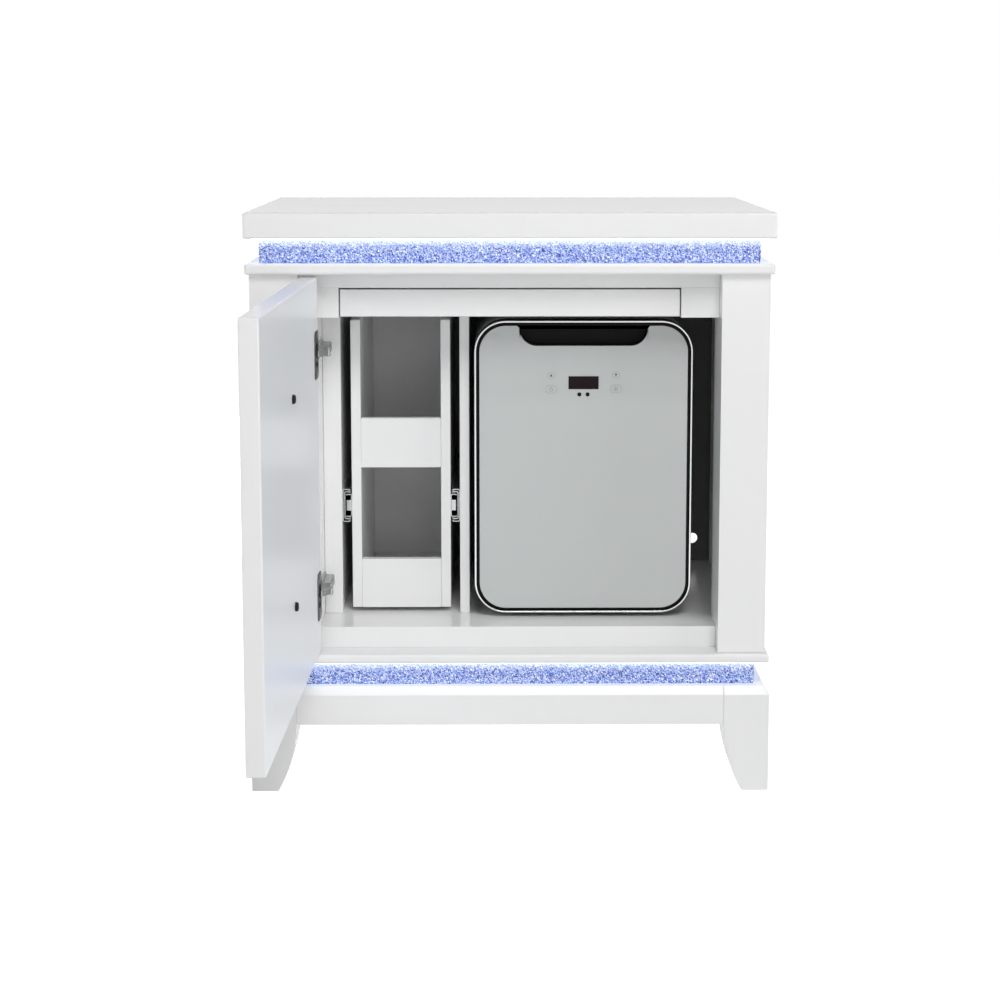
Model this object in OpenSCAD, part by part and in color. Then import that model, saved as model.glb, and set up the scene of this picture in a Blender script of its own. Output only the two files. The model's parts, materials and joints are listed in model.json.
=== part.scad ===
// Nightstand with a compartment door, a pull-out rack, a hidden tray and a small refrigerator.
// Millimetres. X to the right, Y to the back, Z up. It stands on Z = 0 with its door open.

/* [Top and plates] */
// Thickness of the top
slab_t = 33; // [25:1:45]
// Rounding of the edges of the top
slab_r = 3; // [1:0.5:6]
// Height of each lit gap between two plates
gap_h = 32; // [24:1:45]
// Thickness of the moulded plate under the upper gap
upper_plate_t = 14; // [10:1:22]
// Thickness of the moulded plate over the lower gap
lower_plate_t = 12; // [10:1:22]
// Rounding of the edges of the two plates
plate_r = 4; // [1:0.5:5]
// How far the crystal bands stand back from the edges
band_inset = 18; // [14:1:24]
// Thickness of the crystal bands
crystal_t = 3; // [2:0.5:5]
// Thickness of the boards behind the crystal bands
frieze_t = 16; // [12:1:22]
// Width of the light strips
strip_w = 8; // [5:1:12]
// Thickness of the light strips
strip_t = 2; // [1.5:0.5:4]

/* [Base] */
// Height of the base, feet included
base_h = 140; // [120:5:200]
// Height of the sloped moulding round the base
mould_h = 10.5; // [6:0.5:14]
// How far the moulding slopes back
mould_in = 7; // [3:0.5:10]
// Height of the rails between the feet
apron_h = 50; // [35:1:60]
// Thickness of the rails between the feet
apron_t = 30; // [26:1:38]
// Width and depth of a foot at the top
foot_w = 60; // [50:1:75]
// How far a foot tapers towards the floor
foot_taper = 25; // [10:1:30]

/* [Case] */
// Space between the divider and the refrigerator
fridge_gap = 7; // [5:1:20]
// Space on the right of the refrigerator, for its lead
fridge_side = 29; // [20:1:60]
// Space above the refrigerator
fridge_head = 9; // [6:1:30]
// Space behind the refrigerator
fridge_rear = 52; // [40:1:80]
// How far the posts stand in from the sides of the top
post_in = 6; // [4:1:12]
// How far the posts stand back from the front of the top
post_back = 10; // [6:1:14]
// Width of the front posts
post_w = 62; // [50:1:70]
// Depth of the front posts
post_d = 86; // [70:1:100]
// Width of the rear posts
rear_post_w = 30; // [24:1:45]
// Depth of the rear posts
rear_post_d = 28; // [24:1:45]
// Thickness of the side panels
side_t = 16; // [12:1:22]
// Thickness of the back panel
back_t = 5; // [3:0.5:9]
// How far the back panel stands in from the rear posts' backs
back_in = 18; // [12:1:24]
// Radius of the cable hole in the back panel
cable_r = 8; // [6:0.5:10]
// Thickness of the compartment floor
floor_t = 28; // [16:1:36]
// Height of the rail over the tray
top_rail_h = 20; // [12:1:26]
// How far the door's resting plane stands behind the front
stop_back = 40; // [39:1:46]
// Thickness of the filler that carries the hinges
filler_t = 22; // [18:1:26]
// Thickness of the inner panel beside the rack
inner_t = 24; // [16:1:28]
// Thickness of the divider
divider_t = 13; // [10:1:20]
// How far the inner panel and the divider stand back
divider_back = 116; // [110:1:130]

/* [Door] */
// Thickness of the door board
door_t = 16; // [15:1:18]
// Thickness of the two raised fronts on the door
front_t = 6; // [4:0.5:7]
// Gap between the two raised fronts
front_gap = 3; // [1:0.5:6]
// Gap round the door's sides
door_gap = 2; // [1.5:0.5:4]
// How far the door stands open here, in degrees
door_open = 91.6; // [0:0.1:100]
// Radius of a knob
knob_r = 13; // [9:1:16]
// How far a knob stands out
knob_h = 26; // [18:1:32]
// Height of the lower hinge above the door's bottom edge
hinge_low = 77; // [50:1:120]
// Distance of the upper hinge below the door's top edge
hinge_top = 99; // [50:1:140]
// Radius of a hinge cup
cup_r = 17.5; // [15:0.5:17.5]
// Depth of a hinge cup
cup_d = 12.5; // [11.5:0.5:13]

/* [Tray] */
// Height of the tray front
tray_h = 35.5; // [30:0.5:45]
// Width of the blocks beside the tray
block_w = 50; // [40:1:60]
// Thickness of the tray front
tray_front_t = 16; // [12:1:20]
// Thickness of the tray sides and back
tray_side_t = 10; // [8:1:14]
// Thickness of the tray bottom
tray_floor_t = 4; // [3:0.5:6]
// Depth of the tray behind its front
tray_d = 340; // [280:5:360]
// Thickness of a tray slide
tray_slide_t = 10; // [9:0.5:13]
// Height of a tray slide
tray_slide_h = 24; // [20:1:26]

/* [Rack] */
// Clear width of the bay for the rack
bay_w = 159; // [140:1:180]
// Space above the rack
rack_head = 11; // [6:1:60]
// Space behind the rack
rack_rear = 16; // [8:1:50]
// Thickness of the rack boards
rack_t = 13; // [10:1:16]
// Height of the lips in front of the two bins
lip_h = 67; // [40:1:90]
// Height of the upper bin above the rack's bottom
shelf_h = 193; // [150:1:220]
// Thickness of a rack slide
slide_t = 12.7; // [12:0.1:14]
// Height of a rack slide
slide_h = 45; // [42:1:53]
// Height of the rack slides above the rack's bottom
slide_up = 118; // [90:1:140]

/* [Refrigerator] */
// Width of the refrigerator
fridge_w = 290; // [260:1:320]
// Height of the refrigerator above its feet
fridge_h = 395; // [360:1:440]
// Depth of the refrigerator's case
case_d = 271; // [250:1:310]
// Radius of the refrigerator's corners
fridge_r = 42; // [20:1:50]
// Wall of the case, insulation included
case_wall = 26; // [20:1:32]
// Height of the shelf above the refrigerator's underside
shelf_up = 150; // [110:5:210]
// Height of the fan's middle above the refrigerator's underside
cool_up = 193.5; // [170:0.5:210]
// Depth of the refrigerator's door
fdoor_d = 34; // [30:1:40]
// Width of the bright rim round the door
rim_w = 3.3; // [2:0.1:6]
// Dark gap between the rim and the glass
glass_gap = 3.3; // [2:0.1:6]
// Thickness of the door's glass
glass_t = 4; // [3:0.5:5]
// Thickness of the door seal
seal_t = 2.7; // [2:0.1:4]
// Width of the grip recess
grip_w = 170; // [120:1:190]
// Height of the grip recess
grip_h = 26.7; // [20:0.1:34]
// Depth of the grip recess
grip_d = 20; // [10:1:24]
// Height of the refrigerator's feet
ffoot_h = 6; // [4:1:10]
// Radius of the fan
fan_r = 40; // [30:1:44]

/* [Hidden] */

$fn = 64;
over = 1;               // cuts run this far past a face
seat = 0.3;             // gap at which one piece rests by another

// Heights, from the floor up: the refrigerator sets the height of the bay
lower_plate_z = base_h + gap_h;
case_z = lower_plate_z + lower_plate_t;
floor_z = case_z + floor_t;
fridge_z = floor_z + ffoot_h;
fridge_top = fridge_z + fridge_h;
block_z = fridge_top + fridge_head;
tray_foot = 1.5;
tray_gap = 2;
tray_z = block_z + tray_foot;
tray_top = tray_z + tray_h;
rail_z = tray_top + tray_gap;
upper_plate_z = rail_z + top_rail_h;
slab_z = upper_plate_z + upper_plate_t + gap_h;
total_h = slab_z + slab_t;
apron_z = base_h - apron_h;

// Widths: the two bays and the boards beside them set the opening
open_x = (filler_t + inner_t + bay_w + divider_t + fridge_gap + fridge_w + fridge_side) / 2;
case_x = open_x + post_w;
half_w = case_x + post_in;
panel_in = 3;
filler_x = -open_x + filler_t;
bay_x = filler_x + inner_t;
divider_x = bay_x + bay_w;
fridge_bay_x = divider_x + divider_t;
fridge_x = fridge_bay_x + fridge_gap;
fridge_mid = fridge_x + fridge_w / 2;

// Depths: the refrigerator sets the place of the back panel
fridge_y = stop_back + 52;
case_front = fridge_y + fdoor_d + seal_t + seat;
case_rear = case_front + case_d;
back_y = case_rear + fridge_rear;
case_back = back_y + back_in;
rear_in = 5;
top_d = case_back + rear_in;
post_end = post_back + post_d;
rail_d = 20;

// Plates and lights
plate_in = 1;
strip_gap = 1;

// Cable hole, beside the opening's right edge
cable_x = open_x + 7;
cable_z = floor_z + 34;

// Knobs and their screws
knob_foot_h = 3;
knob_head_h = 14;
screw_r = 2;
screw_head_r = 4.5;
screw_sink = 3;
screw_hold = 11;

// Tray
block_x = open_x - block_w;
tray_y = stop_back + 2;
tray_box_w = 2 * (block_x - tray_slide_t);
tray_box_y = tray_y + tray_front_t;
tray_lift = 3;
tray_box_z = tray_z + tray_lift;
tray_box_h = tray_h - 2 * tray_lift;
tray_slide_z = tray_box_z + (tray_box_h - tray_slide_h) / 2;
tray_slide_in = 4;

// Door, as it is when closed
door_foot = 2;
door_head = 3.5;
door_x = open_x - door_gap;
door_z = case_z + door_foot;
door_top = upper_plate_z - door_head;
door_h = door_top - door_z;
door_w = 2 * door_x;
door_back = stop_back - 2;
door_mid = door_back - door_t;
door_front = door_mid - front_t;
pivot_in = 3.5;
pivot_x = -door_x + pivot_in;
pivot_y = door_front + pivot_in;
front_h = (door_h - front_gap) / 2;
knob_z = [door_z + front_h / 2, door_top - front_h / 2];
hinge_z = [door_z + hinge_low, door_top - hinge_top];

// Hinges: the cup sits in the door, the arm on the filler and the link between them
cup_edge = 22;
cup_x = -door_x + cup_edge;
cup_t = 0.9;
cup_fit = 0.1;
flange_t = 1.2;
flange_w = 24;
flange_h = 62;
flange_rim = 1.5;
link_x = pivot_x + 31.3;
link_y = pivot_y + 11.5;
link_len = 22;
link_shut = 172;
link_ratio = 0.7;
link_t = 2.4;
link_h = 8;
link_pin_r = 1.2;
knuckle_r = 2;
ear_t = 1.4;
arm_w = 16;
arm_h = 17;
arm_y = stop_back + 6;
arm_len = 58;
arm_plate_t = 3;
arm_plate_y = 14;
arm_plate_w = 24;
arm_plate_h = 48;

// Rack
rack_gap = 6;
rack_back_in = 10;
rack_x = bay_x + slide_t;
rack_w = bay_w - 2 * slide_t;
rack_y = divider_back + rack_back_in;
rack_z = floor_z + rack_gap;
rack_d = back_y - rack_rear - rack_y;
rack_h = block_z - rack_head - rack_z;
slide_z = rack_z + slide_up;
slide_in = 2;
slide_y = rack_y + slide_in;
slide_len = rack_d - 10;
slide_play = 1;
steel_t = 1.2;
ball_r = 1.2;
ball_sink = 0.3;
mid_gap = 2 * ball_r - ball_sink + 0.1;
mid_h = slide_h - 2 * (steel_t + mid_gap);
in_h = mid_h - 2 * (steel_t + mid_gap);

// Refrigerator: behind the cavity come the wall, the heat sink and the fan
cool_wall = 15;
sink_d = 18;
fan_d = 27;
cavity_back = case_rear - fan_d - sink_d - cool_wall;
recess_y = cavity_back + cool_wall;
fan_y = recess_y + sink_d;
cool_z = fridge_z + cool_up;
liner_t = 1.5;
shelf_t = 4;
shelf_z = fridge_z + shelf_up;
shelf_front = case_front + 14;
shelf_rear = cavity_back - 20;
ledge_w = 6;
ledge_h = 4;
cold_w = 90;
cold_t = 5;
neck_w = 40;
neck_fit = 0.5;
sink_w = 110;
sink_h = 108;
sink_base = 5;
fin_n = 11;
fin_t = 2;
recess_w = sink_w + 50;
recess_r = 6;
fan_box = 2 * fan_r + 14;
fan_box_r = 5;
fan_gap = 2;
hub_r = 13;
boss_r = 12;
boss_t = 4;
fan_pin_r = 2;
blade_n = 7;
blade_w = 13;
blade_t = 1.6;
grille_t = 3;
grille_w = recess_w + 16;
grille_r = 8;
slot_n = 11;
inlet_w = 32;
inlet_h = 26;
inlet_d = 8;
inlet_wall = 5;
ffoot_in = 50;
ffoot_r = 9;

// Refrigerator door
glass_in = rim_w + glass_gap;
glass_y = fridge_y + 0.5;
rim_d = 10;
grip_r = 23;
grip_flare = 5;
seal_in = 12;
seal_w = 9;
display_w = 40;
display_h = 17.2;
display_z = fridge_top - 82.5;
lamp_r = 2.75;
lamp_gap = 5.5;
lamp_drop = 15.7;
fpivot_x = fridge_x + fridge_w - 7.5;
fpivot_y = fridge_y + 18;
fpin_r = 3;
fpin_len = 18;
pin_play = 0.05;
bracket_t = 2.5;
bracket_r = 4;
bracket_in = 60;
bracket_z = [fridge_z + bracket_in, fridge_top - bracket_in];

// The open door's free edge is the frontmost point, so the origin is midway between it and the back
door_reach = door_w - pivot_in;
free_edge_y = min([for (dy = [door_front, door_back] - [pivot_y, pivot_y])
    -door_reach * sin(door_open) + dy * cos(door_open)]) + pivot_y;
front_y = door_open > 20 ? min(free_edge_y, 0) : -knob_h;
shift_y = -(top_d + front_y) / 2;

WHITE = "white";
CRYSTAL = [0.62, 0.72, 1];
STEEL = "silver";
DARK = [0.12, 0.12, 0.12];
GREY = [0.72, 0.75, 0.74];

// ---- Shapes that repeat ----

// A board between two corners
module board(lo, hi) {
    translate(lo) cube(hi - lo);
}

// A flat rectangle with round corners
module round_rect(w, h, r) {
    translate([r, 0]) square([w - 2 * r, h]);
    translate([0, r]) square([w, h - 2 * r]);
    for (x = [r, w - r], y = [r, h - r]) translate([x, y]) circle(r);
}

// A board whose twelve edges are rounded
module soft_board(lo, hi, r) {
    size = hi - lo;
    translate(lo) intersection() {
        linear_extrude(size.z) round_rect(size.x, size.y, r);
        translate([0, size.y, 0]) rotate([90, 0, 0]) linear_extrude(size.y) round_rect(size.x, size.z, r);
        rotate([90, 0, 90]) linear_extrude(size.x) round_rect(size.y, size.z, r);
    }
}

// The same piece on the left and on the right
module both_sides() {
    children();
    mirror([1, 0, 0]) children();
}

// A block with round corners seen from the front, from y0 to y1
module front_block(x, z, w, h, r, y0, y1) {
    translate([x, y1, z]) rotate([90, 0, 0]) linear_extrude(y1 - y0) round_rect(w, h, r);
}

// A round bar that runs from front to back
module bar_y(x, y0, y1, z, r) {
    translate([x, y1, z]) rotate([90, 0, 0]) cylinder(h = y1 - y0, r = r);
}

// A folded steel channel: a web and two flanges, drawn on its side at the web's foot
module channel(depth, height, length) {
    board([0, 0, 0], [steel_t, length, height]);
    for (z = [0, height - steel_t]) board([0, 0, z], [depth, length, z + steel_t]);
}

// ---- Plates, bands and lights ----

module top_slab() {
    color(WHITE) soft_board([-half_w, 0, slab_z], [half_w, top_d, total_h], slab_r);
}

module plate(z, t) {
    color(WHITE) soft_board([-half_w + plate_in, 0, z],
        [half_w - plate_in, top_d - plate_in, z + t], min(plate_r, t / 2 - 1));
}

// Four boards set on edge under a plate
module frieze(z) {
    x = half_w - band_inset - crystal_t;
    y0 = band_inset + crystal_t;
    y1 = top_d - band_inset;
    color(WHITE) {
        board([-x, y0, z], [x, y0 + frieze_t, z + gap_h]);
        board([-x, y1 - frieze_t, z], [x, y1, z + gap_h]);
        both_sides() board([x - frieze_t, y0 + frieze_t, z], [x, y1 - frieze_t, z + gap_h]);
    }
}

// Crushed crystal on the front and the sides of a frieze
module crystal_band(z) {
    x = half_w - band_inset;
    color(CRYSTAL) {
        board([-x, band_inset, z], [x, band_inset + crystal_t, z + gap_h]);
        both_sides() board([x - crystal_t, band_inset + crystal_t, z], [x, top_d - band_inset, z + gap_h]);
    }
}

// A light strip under the overhang, in front of the crystal and beside it
module light_strip(z_top) {
    x = half_w - band_inset + strip_w / 2 + strip_gap;
    y = band_inset - strip_w / 2 - strip_gap;
    color("lightblue") {
        board([-x - strip_w / 2, y - strip_w / 2, z_top - strip_t], [x + strip_w / 2, y + strip_w / 2, z_top]);
        both_sides() board([x - strip_w / 2, y + strip_w / 2, z_top - strip_t],
            [x + strip_w / 2, top_d - band_inset, z_top]);
    }
}

module upper_plate() plate(upper_plate_z, upper_plate_t);
module lower_plate() plate(lower_plate_z, lower_plate_t);
module upper_frieze() frieze(slab_z - gap_h);
module lower_frieze() frieze(base_h);
module upper_crystal_band() crystal_band(slab_z - gap_h);
module lower_crystal_band() crystal_band(base_h);
module upper_light_strip() light_strip(slab_z);
module lower_light_strip() light_strip(lower_plate_z);

// ---- Base ----

// Outline of the moulding: straight up, then sloped back to the top
function mould_profile(w, z0) = [[0, z0], [w, z0], [w, base_h], [mould_in, base_h], [0, base_h - mould_h]];

// A foot seen from the front: its inner edge sweeps out to the floor as a parabola
function foot_profile() = concat(
    [for (i = [0:10]) let (s = i / 10) [foot_w - foot_taper * pow(1 - s, 2), apron_z * s]],
    [[foot_w, base_h], [mould_in, base_h], [0, base_h - mould_h], [0, 0]]);

module foot_sheet() linear_extrude(foot_w) polygon(foot_profile());

// A foot with its two outer faces at x = 0 and y = 0
module foot() {
    color(WHITE) intersection() {
        translate([0, foot_w, 0]) rotate([90, 0, 0]) foot_sheet();
        rotate([90, 0, 90]) foot_sheet();
    }
}

module front_foot_left() translate([-half_w, 0, 0]) foot();
module front_foot_right() mirror([1, 0, 0]) front_foot_left();
module rear_feet() translate([0, top_d, 0]) mirror([0, 1, 0]) both_sides() front_foot_left();

// A rail between two feet, its outer face at y = 0
module apron(length) {
    rotate([90, 0, 90]) linear_extrude(length) polygon(mould_profile(apron_t, apron_z));
}

module base_rails() {
    front_len = 2 * (half_w - foot_w);
    side_len = top_d - 2 * foot_w;
    color(WHITE) {
        translate([-front_len / 2, 0, 0]) apron(front_len);
        translate([front_len / 2, top_d, 0]) rotate([0, 0, 180]) apron(front_len);
        both_sides() translate([-half_w, foot_w + side_len, 0]) rotate([0, 0, -90]) apron(side_len);
    }
}

// ---- Case ----

module front_post_left() {
    color(WHITE) board([-case_x, post_back, case_z], [-open_x, post_end, upper_plate_z]);
}

module front_post_right() mirror([1, 0, 0]) front_post_left();

module rear_posts() {
    color(WHITE) both_sides()
        board([case_x - rear_post_w, case_back - rear_post_d, case_z], [case_x, case_back, upper_plate_z]);
}

module side_panel_left() {
    color(WHITE) board([-case_x + panel_in, post_end, case_z],
        [-case_x + panel_in + side_t, case_back - rear_post_d, upper_plate_z]);
}

module side_panel_right() mirror([1, 0, 0]) side_panel_left();

module back_panel() {
    x = case_x - rear_post_w;
    color(WHITE) difference() {
        board([-x, back_y, case_z], [x, back_y + back_t, upper_plate_z]);
        bar_y(cable_x, back_y - over, back_y + back_t + over, cable_z, cable_r);
    }
}

// The compartment's floor, notched round the posts
module floor_board() {
    x = case_x - panel_in - side_t;
    rear_x = case_x - rear_post_w;
    color(WHITE) {
        board([-open_x, stop_back, case_z], [open_x, post_end, floor_z]);
        board([-x, post_end, case_z], [x, case_back - rear_post_d, floor_z]);
        board([-rear_x, case_back - rear_post_d, case_z], [rear_x, back_y, floor_z]);
    }
}

module top_rail() {
    color(WHITE) board([-open_x, stop_back, rail_z], [open_x, stop_back + rail_d, upper_plate_z]);
}

// Blocks beside the tray that carry its slides, notched over the rail
module tray_blocks() {
    color(WHITE) both_sides() difference() {
        board([block_x, stop_back + 1, block_z], [open_x, back_y, upper_plate_z]);
        board([block_x - over, stop_back, rail_z], [open_x + over, stop_back + rail_d, upper_plate_z + over]);
    }
}

module hinge_filler() {
    color(WHITE) board([-open_x, stop_back, floor_z], [filler_x, divider_back, block_z]);
}

module inner_panel() {
    color(WHITE) board([filler_x, divider_back, floor_z], [bay_x, back_y, block_z]);
}

module divider() {
    color(WHITE) board([divider_x, divider_back, floor_z], [fridge_bay_x, back_y, block_z - 1]);
}

// ---- Door: drawn closed, then swung open ----

module swung() {
    translate([pivot_x, pivot_y, 0]) rotate([0, 0, -door_open]) translate([-pivot_x, -pivot_y, 0]) children();
}

module door_board() {
    color(WHITE) swung() difference() {
        board([-door_x, door_mid, door_z], [door_x, door_back, door_top]);
        for (z = hinge_z) bar_y(cup_x, door_back - cup_d, door_back + over, z, cup_r);
        for (z = knob_z) {
            bar_y(0, door_mid - over, door_back + over, z, screw_r + 0.1);
            bar_y(0, door_back - screw_sink, door_back + over, z, screw_head_r + 0.3);
        }
    }
}

module door_raised_fronts() {
    color(WHITE) swung() for (z = knob_z) difference() {
        board([-door_x, door_front, z - front_h / 2], [door_x, door_mid, z + front_h / 2]);
        bar_y(0, door_front - over, door_mid + over, z, screw_r + 0.1);
    }
}

// A knob with a foot, a waist and a round head
module door_knobs() {
    color(STEEL) swung() for (z = knob_z) translate([0, door_front, z]) rotate([90, 0, 0]) difference() {
        union() {
            cylinder(h = knob_foot_h, r = knob_r - 5);
            cylinder(h = knob_h - knob_head_h + over, r = knob_r - 8);
            translate([0, 0, knob_h - knob_head_h]) cylinder(h = knob_head_h, r = knob_r);
        }
        translate([0, 0, -over]) cylinder(h = screw_hold + 2 * over, r = screw_r + 0.05);
    }
}

module knob_screws() {
    color(DARK) swung() for (z = knob_z) {
        bar_y(0, door_front - screw_hold, door_back - 1, z, screw_r);
        bar_y(0, door_back - screw_sink, door_back - 0.6, z, screw_head_r);
    }
}

// A cup pressed into the door, with a flange on the door's inner face
module hinge_cups() {
    color(STEEL) swung() for (z = hinge_z) difference() {
        union() {
            bar_y(cup_x, door_back - cup_d + cup_fit, door_back, z, cup_r - cup_fit);
            board([cup_x - flange_w / 2, door_back, z - flange_h / 2],
                [cup_x + flange_w / 2, door_back + flange_t, z + flange_h / 2]);
            bar_y(cup_x, door_back, door_back + flange_t, z, cup_r + flange_rim);
        }
        bar_y(cup_x, door_back - cup_d + cup_fit + cup_t, door_back + flange_t + over, z,
            cup_r - cup_fit - cup_t);
    }
}

// A link between the arm and the cup, turned with the door
module hinge_links() {
    color(STEEL) translate([link_x, link_y, 0]) rotate([0, 0, link_shut + link_ratio * door_open])
        for (z = hinge_z) translate([0, 0, z - link_h / 2]) difference() {
            union() {
                cylinder(h = link_h, r = knuckle_r + 0.4);
                translate([0, -link_t / 2, 0]) cube([link_len - link_t / 2, link_t, link_h]);
                translate([link_len - link_t / 2, 0, 0]) cylinder(h = link_h, r = link_t / 2);
            }
            translate([0, 0, -over]) cylinder(h = link_h + 2 * over, r = link_pin_r + pin_play);
        }
}

// A mounting plate on the filler, the arm and its neck with the link's pin
module hinge_arms() {
    color(STEEL) for (z = hinge_z) {
        board([filler_x, arm_y + arm_plate_y, z - arm_plate_h / 2],
            [filler_x + arm_plate_t, arm_y + arm_plate_y + arm_plate_w, z + arm_plate_h / 2]);
        board([filler_x, arm_y, z - arm_h / 2], [filler_x + arm_w, arm_y + arm_len, z + arm_h / 2]);
        for (ear = [z - link_h / 2 - seat - ear_t, z + link_h / 2 + seat]) {
            board([link_x - knuckle_r, link_y, ear], [link_x + knuckle_r, arm_y + over, ear + ear_t]);
            translate([link_x, link_y, ear]) cylinder(h = ear_t, r = knuckle_r);
        }
        translate([link_x, link_y, z - link_h / 2 - 1]) cylinder(h = link_h + 2, r = link_pin_r);
    }
}

// ---- Tray ----

module tray_front() {
    x = block_x - 1.5;
    color(WHITE) soft_board([-x, tray_y, tray_z], [x, tray_box_y, tray_top], 1.5);
}

module tray_sides() {
    color(WHITE) both_sides() board([tray_box_w / 2 - tray_side_t, tray_box_y, tray_box_z],
        [tray_box_w / 2, tray_box_y + tray_d, tray_box_z + tray_box_h]);
}

module tray_back() {
    x = tray_box_w / 2 - tray_side_t;
    color(WHITE) board([-x, tray_box_y + tray_d - tray_side_t, tray_box_z],
        [x, tray_box_y + tray_d, tray_box_z + tray_box_h]);
}

module tray_bottom() {
    x = tray_box_w / 2 - tray_side_t;
    color(WHITE) board([-x, tray_box_y, tray_box_z],
        [x, tray_box_y + tray_d - tray_side_t, tray_box_z + tray_floor_t]);
}

module tray_slide_outers() {
    color(STEEL) both_sides() translate([block_x, tray_box_y + tray_slide_in, tray_slide_z])
        mirror([1, 0, 0]) channel(tray_slide_t - 1, tray_slide_h, tray_d - 10);
}

module tray_slide_inners() {
    gap = 0.4;
    h = tray_slide_h - 2 * (steel_t + gap);
    color(STEEL) both_sides() translate([tray_box_w / 2, tray_box_y + tray_slide_in, tray_slide_z + steel_t + gap])
        channel(tray_slide_t - steel_t - 0.8, h, tray_d - 10);
}

// ---- Rack ----

module rack_sides() {
    color(WHITE) for (x = [rack_x, rack_x + rack_w - rack_t])
        board([x, rack_y, rack_z], [x + rack_t, rack_y + rack_d, rack_z + rack_h]);
}

// A board between the rack's sides
module rack_cross(y0, y1, z0, z1) {
    board([rack_x + rack_t, rack_y + y0, rack_z + z0], [rack_x + rack_w - rack_t, rack_y + y1, rack_z + z1]);
}

module rack_back() color(WHITE) rack_cross(rack_d - rack_t, rack_d, 0, rack_h);
module rack_bottom() color(WHITE) rack_cross(rack_t, rack_d - rack_t, 0, rack_t);
module rack_shelf() color(WHITE) rack_cross(rack_t, rack_d - rack_t, shelf_h, shelf_h + rack_t);
module rack_lips() color(WHITE) for (z = [0, shelf_h]) rack_cross(0, rack_t, z, z + lip_h);

// Each slide is drawn beside the inner panel, then mirrored for the divider
module rack_slide_pair() {
    for (side = [0, 1]) translate([side * bay_w + bay_x, slide_y, slide_z]) mirror([side, 0, 0]) children();
}

module rack_slide_outers() {
    color(STEEL) rack_slide_pair() channel(slide_t - steel_t - 1.3 * slide_play, slide_h, slide_len);
}

// The middle member with the rows of balls that run against its two neighbours
module rack_slide_middles() {
    web = steel_t + slide_play;
    depth = slide_t - web - steel_t - slide_play;
    z = (slide_h - mid_h) / 2;
    color(STEEL) rack_slide_pair() {
        translate([web, slide_in, z]) channel(depth, mid_h, slide_len - 2 * slide_in);
        for (row = [z - ball_r + ball_sink, z + steel_t + ball_r - ball_sink,
                z + mid_h - steel_t - ball_r + ball_sink, z + mid_h + ball_r - ball_sink])
            bar_y(web + depth - 3, 3 * slide_in, slide_len - 3 * slide_in, row, ball_r);
    }
}

module rack_slide_inners() {
    color(STEEL) rack_slide_pair() translate([slide_t, 0, (slide_h - in_h) / 2]) mirror([1, 0, 0])
        channel(slide_t - 2 * steel_t - 2 * slide_play, in_h, slide_len);
}

// ---- Refrigerator case ----

// The square neck through the wall, and the hole for it
module neck(w, y0, y1) {
    board([fridge_mid - w / 2, y0, cool_z - w / 2], [fridge_mid + w / 2, y1, cool_z + w / 2]);
}

module fridge_case() {
    color(GREY) difference() {
        front_block(fridge_x, fridge_z, fridge_w, fridge_h, fridge_r, case_front, case_rear);
        front_block(fridge_x + case_wall, fridge_z + case_wall, fridge_w - 2 * case_wall,
            fridge_h - 2 * case_wall, fridge_r - case_wall, case_front - over, cavity_back);
        front_block(fridge_mid - recess_w / 2, cool_z - recess_w / 2, recess_w, recess_w, recess_r,
            recess_y, case_rear + over);
        neck(neck_w, cavity_back - over, recess_y + over);
    }
}

// The moulded tub inside the case, with a ledge on each side for the shelf
module fridge_liner() {
    x = fridge_x + case_wall;
    z = fridge_z + case_wall;
    w = fridge_w - 2 * case_wall;
    h = fridge_h - 2 * case_wall;
    r = fridge_r - case_wall;
    color(WHITE) {
        difference() {
            front_block(x, z, w, h, r, case_front, cavity_back);
            front_block(x + liner_t, z + liner_t, w - 2 * liner_t, h - 2 * liner_t, r - liner_t,
                case_front - over, cavity_back - liner_t);
            neck(neck_w, cavity_back - cold_t, cavity_back + over);
        }
        for (side = [x + liner_t / 2, x + w - liner_t / 2 - ledge_w])
            board([side, shelf_front, shelf_z - ledge_h], [side + ledge_w, shelf_rear, shelf_z]);
    }
}

module fridge_shelf() {
    x = fridge_x + case_wall + liner_t + seat;
    color("lightblue") soft_board([x, shelf_front, shelf_z],
        [2 * fridge_mid - x, shelf_rear, shelf_z + shelf_t], 1);
}

// Cold plate inside, thermoelectric module through the wall, finned heat sink behind
module cooling_block() {
    pitch = (sink_w - fin_t) / (fin_n - 1);
    color(STEEL) {
        neck(cold_w, cavity_back - liner_t - cold_t, cavity_back - liner_t);
        neck(neck_w - 2 * neck_fit, cavity_back - liner_t - over, recess_y + over);
        board([fridge_mid - sink_w / 2, recess_y, cool_z - sink_h / 2],
            [fridge_mid + sink_w / 2, recess_y + sink_base, cool_z + sink_h / 2]);
        for (i = [0:fin_n - 1]) translate([fridge_mid - sink_w / 2 + i * pitch, 0, 0])
            board([0, recess_y + sink_base - over, cool_z - sink_h / 2], [fin_t, fan_y, cool_z + sink_h / 2]);
    }
}

// A square fan frame with a round duct, three spokes and a bearing boss
module fan_frame() {
    color(DARK) {
        difference() {
            front_block(fridge_mid - fan_box / 2, cool_z - fan_box / 2, fan_box, fan_box, fan_box_r,
                fan_y, case_rear);
            bar_y(fridge_mid, fan_y - over, case_rear + over, cool_z, fan_r + fan_gap);
        }
        for (a = [90, 210, 330]) translate([fridge_mid, case_rear - 2, cool_z]) rotate([0, -a, 0])
            translate([boss_r / 2, 0, -2]) cube([fan_r + fan_gap + over - boss_r / 2, 2, 4]);
        bar_y(fridge_mid, case_rear - boss_t, case_rear, cool_z, boss_r);
        bar_y(fridge_mid, fan_y + 4, case_rear - boss_t + over, cool_z, fan_pin_r);
    }
}

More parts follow.
